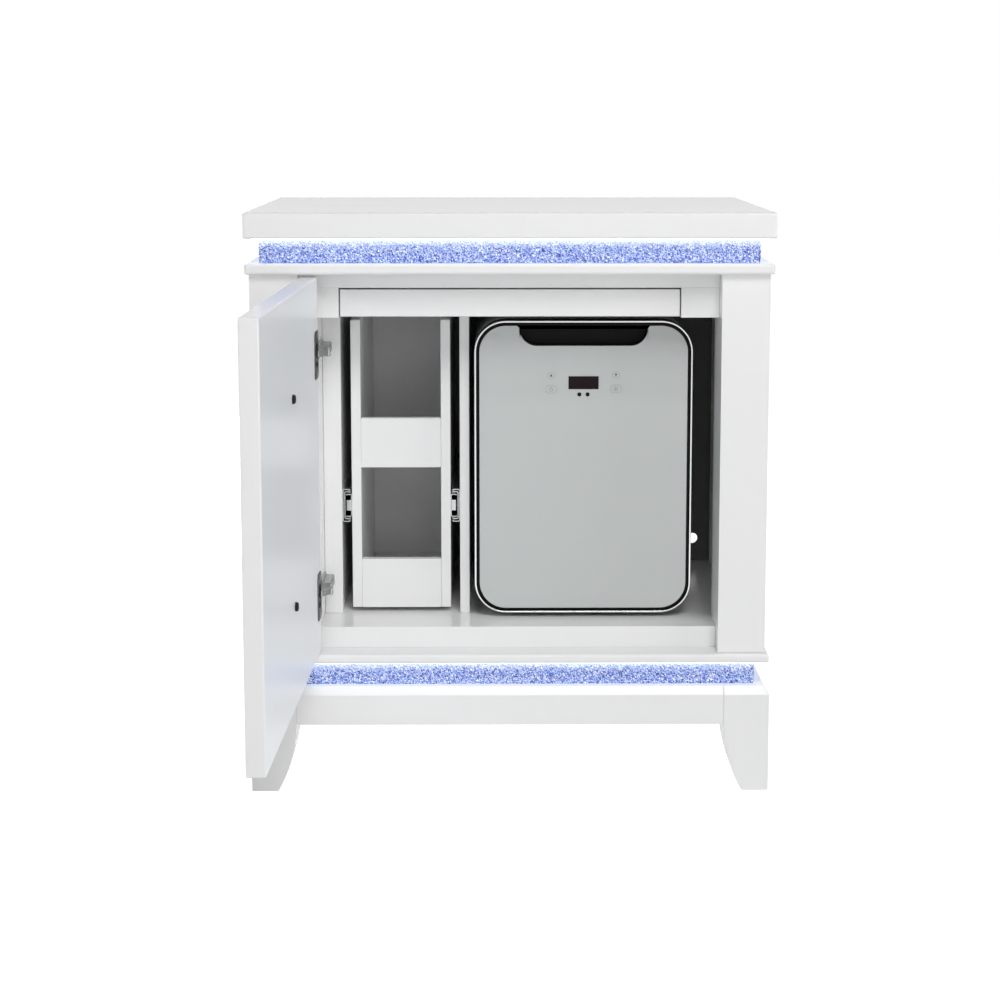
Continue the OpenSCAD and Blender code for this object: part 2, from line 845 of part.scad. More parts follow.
// A hub on the frame's pin, with pitched blades
module fan_rotor() {
    hub_front = fan_y + 5;
    hub_rear = case_rear - boss_t - 0.5;
    color(DARK) difference() {
        union() {
            bar_y(fridge_mid, hub_front, hub_rear, cool_z, hub_r);
            for (i = [0:blade_n - 1]) translate([fridge_mid, (hub_front + hub_rear) / 2, cool_z])
                rotate([0, i * 360 / blade_n, 0]) translate([hub_r - 2, 0, 0]) rotate([35, 0, 0])
                    translate([0, -blade_w / 2, -blade_t / 2]) cube([fan_r - hub_r, blade_w, blade_t]);
        }
        bar_y(fridge_mid, fan_y, hub_rear + over, cool_z, fan_pin_r + pin_play);
    }
}

// A slotted cover over the fan, with the power inlet moulded beside it
module rear_grille() {
    pitch = 2 * fan_r / slot_n;
    inlet_z = cool_z - grille_w / 2 - inlet_h;
    color(DARK) {
        difference() {
            front_block(fridge_mid - grille_w / 2, cool_z - grille_w / 2, grille_w, grille_w, grille_r,
                case_rear, case_rear + grille_t);
            for (i = [0:slot_n - 1]) let (z = cool_z + (i - (slot_n - 1) / 2) * pitch)
                board([fridge_mid - fan_r, case_rear - over, z - pitch * 0.3],
                    [fridge_mid + fan_r, case_rear + grille_t + over, z + pitch * 0.3]);
        }
        difference() {
            board([fridge_mid - inlet_w / 2, case_rear, inlet_z],
                [fridge_mid + inlet_w / 2, case_rear + inlet_d, inlet_z + inlet_h]);
            board([fridge_mid - inlet_w / 2 + inlet_wall, case_rear + 2, inlet_z + inlet_wall],
                [fridge_mid + inlet_w / 2 - inlet_wall, case_rear + inlet_d + over, inlet_z + inlet_h - inlet_wall]);
        }
    }
}

module fridge_feet() {
    color(DARK) for (x = [fridge_x + ffoot_in, fridge_x + fridge_w - ffoot_in],
            y = [case_front + ffoot_in / 2, case_rear - ffoot_in / 2])
        translate([x, y, floor_z]) cylinder(h = ffoot_h, r = ffoot_r);
}

// ---- Refrigerator door ----

// The door's outline, inset by some width, from y0 to y1
module door_block(inset, y0, y1) {
    front_block(fridge_x + inset, fridge_z + inset, fridge_w - 2 * inset, fridge_h - 2 * inset,
        fridge_r - inset, y0, y1);
}

// The grip recess seen from the front, round at its lower corners, flared where it meets the top
module grip_outline() {
    r = min(grip_r, grip_h - grip_flare / 2);
    translate([-grip_w / 2, -grip_h]) {
        translate([r, 0]) square([grip_w - 2 * r, grip_h]);
        translate([0, r]) square([grip_w, grip_h - r + over]);
        for (x = [r, grip_w - r]) translate([x, r]) circle(r);
    }
    for (s = [-1, 1]) translate([s * grip_w / 2, -grip_flare]) difference() {
        translate([s > 0 ? 0 : -grip_flare, 0]) square([grip_flare, grip_flare + over]);
        translate([s * grip_flare, 0]) circle(grip_flare);
    }
}

module grip_cut(y0, y1) {
    translate([fridge_mid, y1, fridge_top - glass_in]) rotate([90, 0, 0])
        linear_extrude(y1 - y0) grip_outline();
}

module fridge_door_frame() {
    rim_y = fridge_y + rim_d;
    color(DARK) difference() {
        union() {
            door_block(0, rim_y, fridge_y + fdoor_d);
            door_block(rim_w, glass_y + glass_t, rim_y + over);
        }
        grip_pocket();
        for (z = bracket_z) {
            board([fpivot_x - bracket_r - 0.6, fpivot_y - bracket_r - 1.2, z - bracket_t / 2 - seat],
                [fridge_x + fridge_w + over, case_front, z + bracket_t / 2 + seat]);
            translate([fpivot_x, fpivot_y, z - fpin_len / 2 - seat])
                cylinder(h = fpin_len + 2 * seat, r = fpin_r + pin_play);
        }
    }
}

// The pocket behind the glass's notch, open at the front only
module grip_pocket() {
    intersection() {
        grip_cut(glass_y, fridge_y + grip_d);
        door_block(glass_in, glass_y - over, fridge_y + grip_d + over);
    }
}

module fridge_door_glass() {
    color(GREY) difference() {
        door_block(glass_in, glass_y, glass_y + glass_t);
        grip_cut(glass_y - over, glass_y + glass_t + over);
    }
}

module fridge_door_rim() {
    color(STEEL) difference() {
        door_block(0, fridge_y, fridge_y + rim_d);
        door_block(rim_w, fridge_y - over, fridge_y + rim_d + over);
    }
}

module fridge_door_seal() {
    color(GREY) difference() {
        door_block(seal_in, fridge_y + fdoor_d, fridge_y + fdoor_d + seal_t);
        door_block(seal_in + seal_w, fridge_y + fdoor_d - over, fridge_y + fdoor_d + seal_t + over);
    }
}

// Display window and two indicator lamps, a thin inlay on the glass
module display_window() {
    color(DARK) {
        board([fridge_mid - display_w / 2, fridge_y, display_z - display_h / 2],
            [fridge_mid + display_w / 2, glass_y, display_z + display_h / 2]);
        for (x = [-lamp_gap, lamp_gap])
            bar_y(fridge_mid + x, fridge_y, glass_y, display_z - lamp_drop, lamp_r);
    }
}

// Two plates on the case, each with a pin that the door turns on
module fridge_hinge_brackets() {
    color(STEEL) for (z = bracket_z) {
        board([fpivot_x - bracket_r, fpivot_y, z - bracket_t / 2],
            [fpivot_x + bracket_r, case_front, z + bracket_t / 2]);
        translate([fpivot_x, fpivot_y, z - bracket_t / 2]) cylinder(h = bracket_t, r = bracket_r);
        translate([fpivot_x, fpivot_y, z - fpin_len / 2]) cylinder(h = fpin_len, r = fpin_r);
    }
}

module place() translate([0, shift_y, 0]) children();

place() top_slab();
place() upper_frieze();
place() upper_crystal_band();
place() upper_light_strip();
place() upper_plate();
place() front_post_left();
place() front_post_right();
place() rear_posts();
place() side_panel_left();
place() side_panel_right();
place() back_panel();
place() floor_board();
place() top_rail();
place() tray_blocks();
place() hinge_filler();
place() inner_panel();
place() divider();
place() lower_plate();
place() lower_frieze();
place() lower_crystal_band();
place() lower_light_strip();
place() base_rails();
place() front_foot_left();
place() front_foot_right();
place() rear_feet();
place() hinge_arms();
place() rack_slide_outers();
place() tray_slide_outers();
place() door_board();
place() door_raised_fronts();
place() door_knobs();
place() knob_screws();
place() hinge_cups();
place() hinge_links();
place() tray_front();
place() tray_sides();
place() tray_back();
place() tray_bottom();
place() tray_slide_inners();
place() rack_sides();
place() rack_back();
place() rack_shelf();
place() rack_bottom();
place() rack_lips();
place() rack_slide_middles();
place() rack_slide_inners();
place() fridge_case();
place() fridge_liner();
place() fridge_shelf();
place() cooling_block();
place() fan_frame();
place() fan_rotor();
place() rear_grille();
place() fridge_feet();
place() fridge_door_frame();
place() fridge_door_glass();
place() fridge_door_rim();
place() fridge_door_seal();
place() display_window();
place() fridge_hinge_brackets();
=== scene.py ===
"""Finishes of the nightstand: lacquered boards, lit crystal, fittings, slides and the refrigerator."""

import json
import math
import random

import bmesh
import bpy
from mathutils import Matrix, Vector


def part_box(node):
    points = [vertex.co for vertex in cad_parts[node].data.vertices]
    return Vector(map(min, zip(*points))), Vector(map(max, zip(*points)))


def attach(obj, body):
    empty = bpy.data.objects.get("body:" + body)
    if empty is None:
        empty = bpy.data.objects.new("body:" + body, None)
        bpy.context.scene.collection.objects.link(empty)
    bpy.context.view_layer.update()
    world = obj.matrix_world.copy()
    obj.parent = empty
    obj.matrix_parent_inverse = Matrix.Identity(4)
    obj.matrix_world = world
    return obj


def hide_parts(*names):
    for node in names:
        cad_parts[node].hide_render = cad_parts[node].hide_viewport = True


bl_info = {
    "name": "Refrigerator nightstand",
    "version": (1, 0, 0),
    "blender": (4, 5, 0),
    "location": "3D View > Sidebar > Nightstand",
    "description": "Lacquer, crystal, light strips, hinges, slides and the refrigerator's finishes",
    "category": "Object",
}

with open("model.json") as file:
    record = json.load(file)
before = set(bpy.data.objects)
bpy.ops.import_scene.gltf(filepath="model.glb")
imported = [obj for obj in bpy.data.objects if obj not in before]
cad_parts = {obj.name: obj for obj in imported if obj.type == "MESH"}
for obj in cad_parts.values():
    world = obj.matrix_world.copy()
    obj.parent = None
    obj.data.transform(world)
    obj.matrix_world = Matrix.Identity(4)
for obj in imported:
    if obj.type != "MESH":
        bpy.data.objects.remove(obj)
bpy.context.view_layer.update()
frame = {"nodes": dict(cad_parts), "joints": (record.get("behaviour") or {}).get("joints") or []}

MM = 0.001
ROUND = math.radians(30)  # edges that turn by more than this are sharp
STEEL_T = 1.2  # sheet steel of the slides, in millimetres
INK_T = 0.1  # height of the printed marks, in millimetres
JOINTS = {joint["name"]: joint for joint in frame["joints"]}


def swing_of(joint):
    """The turn that takes a closed leaf to where it stands at rest."""
    pivot = Matrix.Translation(Vector(joint["pos_m"]))
    return pivot @ Matrix.Rotation(math.radians(joint["range_deg"][0]), 4, "Z") @ pivot.inverted()


DOOR_SWING = swing_of(JOINTS["door_hinge"])


# ---- Colours and nodes ----


def linear(code):
    """The linear red, green and blue of an sRGB hex colour."""
    levels = [int(code[i : i + 2], 16) / 255 for i in (1, 3, 5)]
    return [c / 12.92 if c <= 0.04045 else ((c + 0.055) / 1.055) ** 2.4 for c in levels]


def rgba(colour):
    """A colour property or a hex colour with full alpha."""
    return (*(linear(colour) if isinstance(colour, str) else colour), 1.0)


def add_node(tree, kind, inputs=(), **settings):
    """Adds a node, sets its properties, and links or fills its inputs."""
    node = tree.nodes.new(kind)
    for name, value in settings.items():
        setattr(node, name, value)
    for key, value in dict(inputs).items():
        if isinstance(value, bpy.types.NodeSocket):
            tree.links.new(value, node.inputs[key])
        else:
            node.inputs[key].default_value = value
    return node


def finish(
    name, colour, roughness, spread=0.03, shade=0.02, grain=2.0, relief=0.0, stretch=(1, 1, 1), **shader
):
    """A material whose gloss and colour vary with one noise and its relief with a finer one.

    grain is the size in millimetres of the fine pattern and relief its height in millimetres. The
    gloss varies by spread over patches twenty grains wide, and the colour by shade.
    """
    material = bpy.data.materials.new(name)
    material.use_nodes = True
    tree = material.node_tree
    tree.nodes.clear()
    place = add_node(tree, "ShaderNodeTexCoord").outputs["Object"]
    place = add_node(tree, "ShaderNodeMapping", {"Vector": place, "Scale": stretch}).outputs["Vector"]
    scale = 1 / (grain * MM)
    broad = add_node(tree, "ShaderNodeTexNoise", {"Vector": place, "Scale": scale / 20, "Detail": 2.0})
    dark = [c * (1 - shade) for c in rgba(colour)[:3]]
    pale = [min(c * (1 + shade), 1.0) for c in rgba(colour)[:3]]
    gloss = add_node(
        tree,
        "ShaderNodeMapRange",
        {
            "Value": broad.outputs["Fac"],
            "From Min": 0.3,
            "From Max": 0.7,
            "To Min": max(roughness - spread, 0.02),
            "To Max": roughness + spread,
        },
    )
    tint = add_node(
        tree,
        "ShaderNodeMix",
        {0: broad.outputs["Fac"], 6: rgba(dark), 7: rgba(pale)},
        data_type="RGBA",
    )
    body = add_node(
        tree,
        "ShaderNodeBsdfPrincipled",
        {"Base Color": tint.outputs[2], "Roughness": gloss.outputs["Result"], **shader},
    )
    if relief:
        fine = add_node(tree, "ShaderNodeTexNoise", {"Vector": place, "Scale": scale, "Detail": 3.0})
        bump = add_node(
            tree,
            "ShaderNodeBump",
            {"Height": fine.outputs["Fac"], "Distance": relief * MM, "Strength": 1.0},
        )
        tree.links.new(bump.outputs["Normal"], body.inputs["Normal"])
    add_node(tree, "ShaderNodeOutputMaterial", {"Surface": body.outputs["BSDF"]})
    return material


# ---- Shapes ----


def dress(nodes, material, width=0.0, segments=2):
    """Gives CAD nodes their material, and rounds their edges by a width in millimetres."""
    for name in nodes.split():
        node = frame["nodes"][name]
        node.data.materials.clear()
        node.data.materials.append(material)
        if width:
            # A CAD mesh is loose triangles, whose corners are joined before the edges can be rounded.
            node.modifiers.new("Joined corners", "WELD").merge_threshold = 0.01 * MM
            bevel = node.modifiers.new("Eased edges", "BEVEL")
            bevel.width = width * MM
            bevel.segments = segments
            bevel.limit_method = "ANGLE"
            bevel.angle_limit = ROUND
            bevel.harden_normals = True


def merged_copy(node):
    """A node's shape with its loose triangles joined and its flat faces made whole."""
    bm = bmesh.new()
    bm.from_mesh(frame["nodes"][node].data)
    bmesh.ops.remove_doubles(bm, verts=bm.verts, dist=0.01 * MM)
    bmesh.ops.dissolve_limit(bm, angle_limit=math.radians(1), verts=bm.verts, edges=bm.edges)
    return bm


def rounded(bm, geom, width, segments, affect="EDGES"):
    """Rounds edges or corners by a width in millimetres, and gives what the bevel made."""
    return bmesh.ops.bevel(
        bm,
        geom=geom,
        offset=width * MM,
        offset_type="OFFSET",
        affect=affect,
        segments=segments,
        profile=0.5,
        material=-1,
    )


def ease(bm, width, shortest=0.0, segments=2, keep=None):
    """Rounds the sharp edges that are longer than a length and that keep picks, all in millimetres."""
    edges = [
        e
        for e in bm.edges
        if len(e.link_faces) == 2
        and e.calc_face_angle(0.0) > ROUND
        and e.calc_length() > shortest * MM
        and (keep is None or keep(e))
    ]
    rounded(bm, edges, width, segments)


def add_piece(bm, name, body, material, stands_for=(), move=None, flat=False):
    """Makes an object of a bmesh with its material, shades it, joins it to its body, and hides the CAD
    nodes it stands for.
    """
    if move:
        bmesh.ops.transform(bm, matrix=move, verts=bm.verts)
    mesh = bpy.data.meshes.new(name)
    bm.to_mesh(mesh)
    bm.free()
    # A copy of a CAD node brings normals that no longer fit its shape.
    if "custom_normal" in mesh.attributes:
        mesh.attributes.remove(mesh.attributes["custom_normal"])
    mesh.materials.clear()
    mesh.materials.append(material)
    piece = bpy.data.objects.new(name, mesh)
    bpy.context.scene.collection.objects.link(piece)
    if flat:
        mesh.shade_flat()
    else:
        mesh.shade_smooth()
        mesh.set_sharp_from_angle(angle=ROUND)
        piece.modifiers.new("Flat faces stay flat", "WEIGHTED_NORMAL").keep_sharp = True
    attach(piece, body)
    if stands_for:
        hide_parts(*stands_for)
    return piece


def once(parts):
    """Parts of a mesh, each once, in the order given."""
    return list(dict.fromkeys(parts))


def verts_of(made):
    """The vertices among what an operator made."""
    return [v for v in made.get("verts", made.get("geom", [])) if isinstance(v, bmesh.types.BMVert)]


def open_edges(made):
    """The edges with one face among what an operator made."""
    return [e for e in made["geom"] if isinstance(e, bmesh.types.BMEdge) and len(e.link_faces) == 1]


def block(bm, low, high, width=0.0, segments=2, keep=None):
    """Adds a box between two corners in millimetres. keep picks the edges to round by their direction."""
    verts = bmesh.ops.create_cube(bm, size=1.0)["verts"]
    low, high = Vector(low) * MM, Vector(high) * MM
    bmesh.ops.scale(bm, vec=high - low, verts=verts)
    bmesh.ops.translate(bm, vec=(low + high) / 2, verts=verts)
    edges = once(e for v in verts for e in v.link_edges)
    if keep:
        edges = [e for e in edges if keep((e.verts[1].co - e.verts[0].co).normalized())]
    if width:
        rounded(bm, edges, width, segments)


def placed(bm, before, centre, axis):
    """Turns the new part of a mesh, drawn along +Z, to an axis, and moves it to a point in millimetres."""
    new = [v for v in bm.verts if v not in before]
    bmesh.ops.recalc_face_normals(bm, faces=once(f for v in new for f in v.link_faces))
    turn = {
        "-Y": Matrix.Rotation(math.radians(90), 4, "X"),
        "+Y": Matrix.Rotation(math.radians(-90), 4, "X"),
        "+X": Matrix.Rotation(math.radians(90), 4, "Y"),
        "+Z": Matrix.Identity(4),
    }[axis]
    bmesh.ops.transform(bm, matrix=Matrix.Translation(Vector(centre) * MM) @ turn, verts=new)


def turned(bm, profile, centre, axis="-Y", steps=48):
    """Spins a profile of (radius, height) points, in millimetres, about an axis through a point."""
    before = set(bm.verts)
    line = [bm.verts.new((r * MM, 0, h * MM)) for r, h in profile]
    edges = [bm.edges.new(pair) for pair in zip(line, line[1:])]
    bmesh.ops.spin(
        bm,
        geom=line + edges,
        axis=(0, 0, 1),
        cent=(0, 0, 0),
        angle=2 * math.pi,
        steps=steps,
        use_merge=True,
    )
    bmesh.ops.remove_doubles(bm, verts=[v for v in bm.verts if v not in before], dist=0.001 * MM)
    placed(bm, before, centre, axis)


def cross_head(bm, centre, radius, height, axis="+Y"):
    """Adds a screw head with a cross recess. It stands up from a point, all in millimetres.

    Its flat top is a grid of five by five squares whose middle row and column hold the cross.
    """
    before = set(bm.verts)
    arm, reach, rim_at = 0.13, 0.5, 0.66  # half the cross's width, its reach and the top's edge, in radii
    verts = bmesh.ops.create_grid(bm, x_segments=5, y_segments=5, size=1.0)["verts"]
    for v in verts:
        steps = [arm if abs(c) < 0.4 else reach if abs(c) < 0.8 else rim_at for c in v.co.xy]
        x, y = (math.copysign(step, c) for step, c in zip(steps, v.co.xy))
        v.co = Vector((x * radius, y * radius, height)) * MM
    faces = once(f for v in verts for f in v.link_faces)
    rim = [e for e in once(e for f in faces for e in f.edges) if len(e.link_faces) == 1]
    cross = []
    for face in faces:
        near, far = sorted(abs(c) for c in face.calc_center_median().xy)
        if near < 0.1 * radius * MM and far < reach * radius * MM:
            cross.append(face)
    bmesh.ops.inset_region(bm, faces=cross, thickness=0.03 * radius * MM, depth=-0.35 * height * MM)
    for drop, spread in ((0.12, 0.86), (0.45, 1.0), (1.0, 1.0)):
        made = bmesh.ops.extrude_edge_only(bm, edges=rim)
        rim = open_edges(made)
        for v in verts_of(made):
            flat = Vector((v.co.x, v.co.y, 0)).normalized() * spread * radius * MM
            v.co = (flat.x, flat.y, (1 - drop) * height * MM)
    bmesh.ops.contextual_create(bm, geom=rim)
    placed(bm, before, centre, axis)


def folded_strip(bm, outline, start, length, mirror=False):
    """Adds sheet steel folded along an outline of (x, z) points and drawn out to a length."""
    points = [(start[0] + (-x if mirror else x), start[2] + z) for x, z in outline]
    verts = [bm.verts.new((x * MM, start[1] * MM, z * MM)) for x, z in points]
    edges = [bm.edges.new(pair) for pair in zip(verts, verts[1:])]
    made = bmesh.ops.extrude_edge_only(bm, edges=edges)
    bmesh.ops.translate(bm, vec=(0, length * MM, 0), verts=verts_of(made))
    faces = [f for f in made["geom"] if isinstance(f, bmesh.types.BMFace)]
    if mirror:
        bmesh.ops.reverse_faces(bm, faces=faces)
    bmesh.ops.solidify(bm, geom=faces, thickness=-STEEL_T * MM)


def box_mm(node):
    """The lowest and highest corners of a CAD node at rest, in millimetres."""
    low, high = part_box(node)
    return low / MM, high / MM


def closed_box(node):
    """The corners, in millimetres, of one of the door's nodes when the door is closed."""
    back = DOOR_SWING.inverted()
    points = [back @ v.co for v in frame["nodes"][node].data.vertices]
    return (
        Vector([min(p[i] for p in points) for i in range(3)]) / MM,
        Vector([max(p[i] for p in points) for i in range(3)]) / MM,
    )


# ---- Sizes and colours that a user would change ----


class NightstandFinish(bpy.types.PropertyGroup):
    """Colours of the nightstand"""

    lacquer: bpy.props.FloatVectorProperty(
        name="Lacquer", description="White lacquer", subtype="COLOR", default=linear("#F1F1F1")
    )
    # Painted light: the door's inner face is painted a cooler white for the lights' cool cast.
    door_inside_painted_light: bpy.props.FloatVectorProperty(
        name="Door inside", description="Inner face of the door", subtype="COLOR", default=linear("#F0F3F6")
    )
    # Painted shade: the back board's grey stands in for the shade deep in the bay.
    shade: bpy.props.FloatVectorProperty(
        name="Back board",
        description="Board at the back of the bay",
        subtype="COLOR",
        default=linear("#7C7C7C"),
    )
    light: bpy.props.FloatVectorProperty(
        name="Light", description="Light strips", subtype="COLOR", default=linear("#DAE7FC")
    )
    light_strength: bpy.props.FloatProperty(
        name="Light strength", description="Brightness of the light strips", default=2.4, min=0.0
    )
    glass: bpy.props.FloatVectorProperty(
        name="Door glass",
        description="Glass of the refrigerator's door",
        subtype="COLOR",
        default=linear("#B8BCBB"),
    )


class NightstandSizes(bpy.types.PropertyGroup):
    """Sizes of the small detail"""

    edge: bpy.props.FloatProperty(
        name="Eased edge",
        description="Rounding of the boards' edges, in millimetres",
        default=1.0,
        min=0.1,
        max=3.0,
    )
    chip: bpy.props.FloatProperty(
        name="Crystal chip",
        description="Width of a chip of crystal, in millimetres",
        default=1.6,
        min=1.4,
        max=6.0,
    )
    print_line: bpy.props.FloatProperty(
        name="Printed line",
        description="Width of a printed line, in millimetres",
        default=0.6,
        min=0.2,
        max=1.0,
    )


# ---- Operators, one for each piece or group of like pieces ----


class NIGHTSTAND_OT_boards(bpy.types.Operator):
    """Lacquer the boards, plates, posts and feet"""

    bl_idname = "nightstand.boards"
    bl_label = "Lacquered boards"

    def execute(self, context):
        look = context.scene.nightstand_finish
        edge = context.scene.nightstand_sizes.edge
        # Sprayed polyurethane lacquer on board, rubbed flat: its gloss and tone drift over a hand's width.
        lacquer = finish(
            "White lacquer", look.lacquer, roughness=0.2, spread=0.006, shade=0.004, grain=6.0,
            **{"Specular IOR Level": 0.25},
        )
        dress("top_slab upper_plate lower_plate tray_front", lacquer)
        dress(
            "upper_frieze lower_frieze front_post_left front_post_right rear_posts side_panel_left"
            " side_panel_right floor_board top_rail tray_blocks hinge_filler inner_panel divider base_rails"
            " front_foot_left front_foot_right rear_feet tray_sides tray_back tray_bottom rack_sides"
            " rack_back rack_shelf rack_bottom rack_lips",
            lacquer,
            edge,
        )
        # Painted shade: the back board is painted a mid grey to stand in for the shade deep in the bay, and
        # its finish is duller than the lacquer.
        lining = finish(
            "Grey lining with painted shade", look.shade,
            roughness=0.4, spread=0.05, shade=0.02, grain=1.0, relief=0.003,
        )
        bm = merged_copy("back_panel")
        ease(bm, 0.6, shortest=3)
        add_piece(bm, "back_board", "cabinet", lining, ["back_panel"])
        return {"FINISHED"}


class NIGHTSTAND_OT_door(bpy.types.Operator):
    """Lacquer the door, its two raised fronts and its inner face"""

    bl_idname = "nightstand.door"
    bl_label = "Door"

    def execute(self, context):
        look = context.scene.nightstand_finish
        edge = context.scene.nightstand_sizes.edge
        outside = bpy.data.materials["White lacquer"]
        # The same lacquer on the inner face, painted a cooler white: painted light that stands in for the
        # cool cast of the lights.
        inside = finish(
            "Lacquer with painted cool light", look.door_inside_painted_light, roughness=0.3, spread=0.01, shade=0.006, grain=6.0,
            **{"Specular IOR Level": 0.12},
        )
        # The fronts meet the board here, just behind their own back face.
        joint = closed_box("door_raised_fronts")[1].y + 0.1
        round_edge = 2 * edge
        bm = merged_copy("door_board")
        ease(bm, round_edge, shortest=4, segments=3, keep=lambda e: self.depth_of(e)[1] > joint)
        board = add_piece(bm, "door_leaf", "door", outside, ["door_board"])
        board.data.materials.append(inside)
        facing = DOOR_SWING.to_3x3() @ Vector((0, 1, 0))
        # The faces on the door's inner side take the copy of the lacquer with painted cool light.
        for face in board.data.polygons:
            face.material_index = int(face.normal.dot(facing) > 0.9)
        bm = self.fronts(joint, round_edge)
        add_piece(bm, "door_fronts", "door", outside, ["door_raised_fronts"], DOOR_SWING)
        return {"FINISHED"}

    def depth_of(self, edge):
        """How far back the ends of an edge lie when the door is closed, in millimetres."""
        back = DOOR_SWING.inverted()
        return sorted((back @ v.co).y / MM for v in edge.verts)

    def fronts(self, joint, width):
        """A raised face, as wide as the door, with a groove across it that makes it read as two drawers."""
        half_groove, groove_depth, groove_slope = 2, 2.2, 1.4
        margin = 12  # from the ends of the groove to the door's edges
        low, high = closed_box("door_raised_fronts")
        bm = bmesh.new()
        block(bm, low, high)
        mid = (low.z + high.z) / 2
        for place, way in (
            ((0, 0, mid - half_groove), (0, 0, 1)),
            ((0, 0, mid + half_groove), (0, 0, 1)),
            ((low.x + margin, 0, 0), (1, 0, 0)),
            ((high.x - margin, 0, 0), (1, 0, 0)),
        ):
            near = [f for f in bm.faces if f.normal.y < -0.9]
            parts = near + once(e for f in near for e in f.edges) + once(v for f in near for v in f.verts)
            bmesh.ops.bisect_plane(bm, geom=parts, plane_co=Vector(place) * MM, plane_no=way)
        strip = [f for f in bm.faces if f.normal.y < -0.9 and abs(f.calc_center_median().z / MM - mid) < 1]
        strip = [f for f in strip if abs(f.calc_center_median().x) < 0.2 * (high.x - low.x) * MM]
        bmesh.ops.inset_region(bm, faces=strip, thickness=groove_slope * MM, depth=-groove_depth * MM)
        hem = [
            e
            for e in bm.edges
            if len(e.link_faces) == 2
            and e.calc_face_angle(0.0) > math.radians(80)
            and min(v.co.y for v in e.verts) < (joint - 1) * MM
        ]
        rounded(bm, hem, width, 3)
        return bm


class NIGHTSTAND_OT_knobs(bpy.types.Operator):
    """Turn the two knobs and the screws that hold them"""

    bl_idname = "nightstand.knobs"
    bl_label = "Knobs and screws"

    def execute(self, context):
        # Chrome-plated zinc, polished: almost a mirror.
        chrome = finish(
            "Polished chrome", "#DCDCDA", roughness=0.07, spread=0.02, shade=0.01, grain=1.0,
            **{"Metallic": 1.0},
        )
        # Black oxide on steel screws: dark and satin.
        black = finish(
            "Blackened steel", "#1A1A1B",
            roughness=0.38, spread=0.06, shade=0.05, grain=0.6, relief=0.004,
            **{"Metallic": 0.7},
        )
        low, high = closed_box("door_knobs")
        radius = (high.x - low.x) / 2
        tall = high.y - low.y
        # From the door to the face: a flared foot, a waist and a thick disc with eased rims.
        profile = [
            (0, 0),
            (radius - 5, 0),
            (radius - 5, 1.8),
            (radius - 5.8, 2.8),
            (radius - 7.6, 3.6),
            (radius - 8, 6),
            (radius - 7.6, 9.5),
            (radius - 5, 11.6),
            (radius - 0.9, 12.3),
            (radius, 13.4),
            (radius, tall - 3.4),
            (radius - 0.7, tall - 1.6),
            (radius - 2.6, tall - 0.6),
            (radius - 6.5, tall - 0.1),
            (0, tall),
        ]
        bm = bmesh.new()
        for z in (low.z + radius, high.z - radius):
            turned(bm, profile, (0, high.y, z))
        add_piece(bm, "knobs", "door", chrome, ["door_knobs"], DOOR_SWING)
        low, high = closed_box("knob_screws")
        face = closed_box("door_board")[1].y
        inset = (high.x - low.x) / 2
        shank = face - low.y + 0.5
        head_radius, head_height = 5.6, 3.8
        bm = bmesh.new()
        for z in (low.z + inset, high.z - inset):
            turned(bm, [(0, 0), (2, 0), (2, shank), (0, shank)], (0, low.y, z), "+Y", 16)
            cross_head(bm, (0, face, z), head_radius, head_height)
        add_piece(bm, "knob_screw_heads", "door", black, ["knob_screws"], DOOR_SWING)
        return {"FINISHED"}


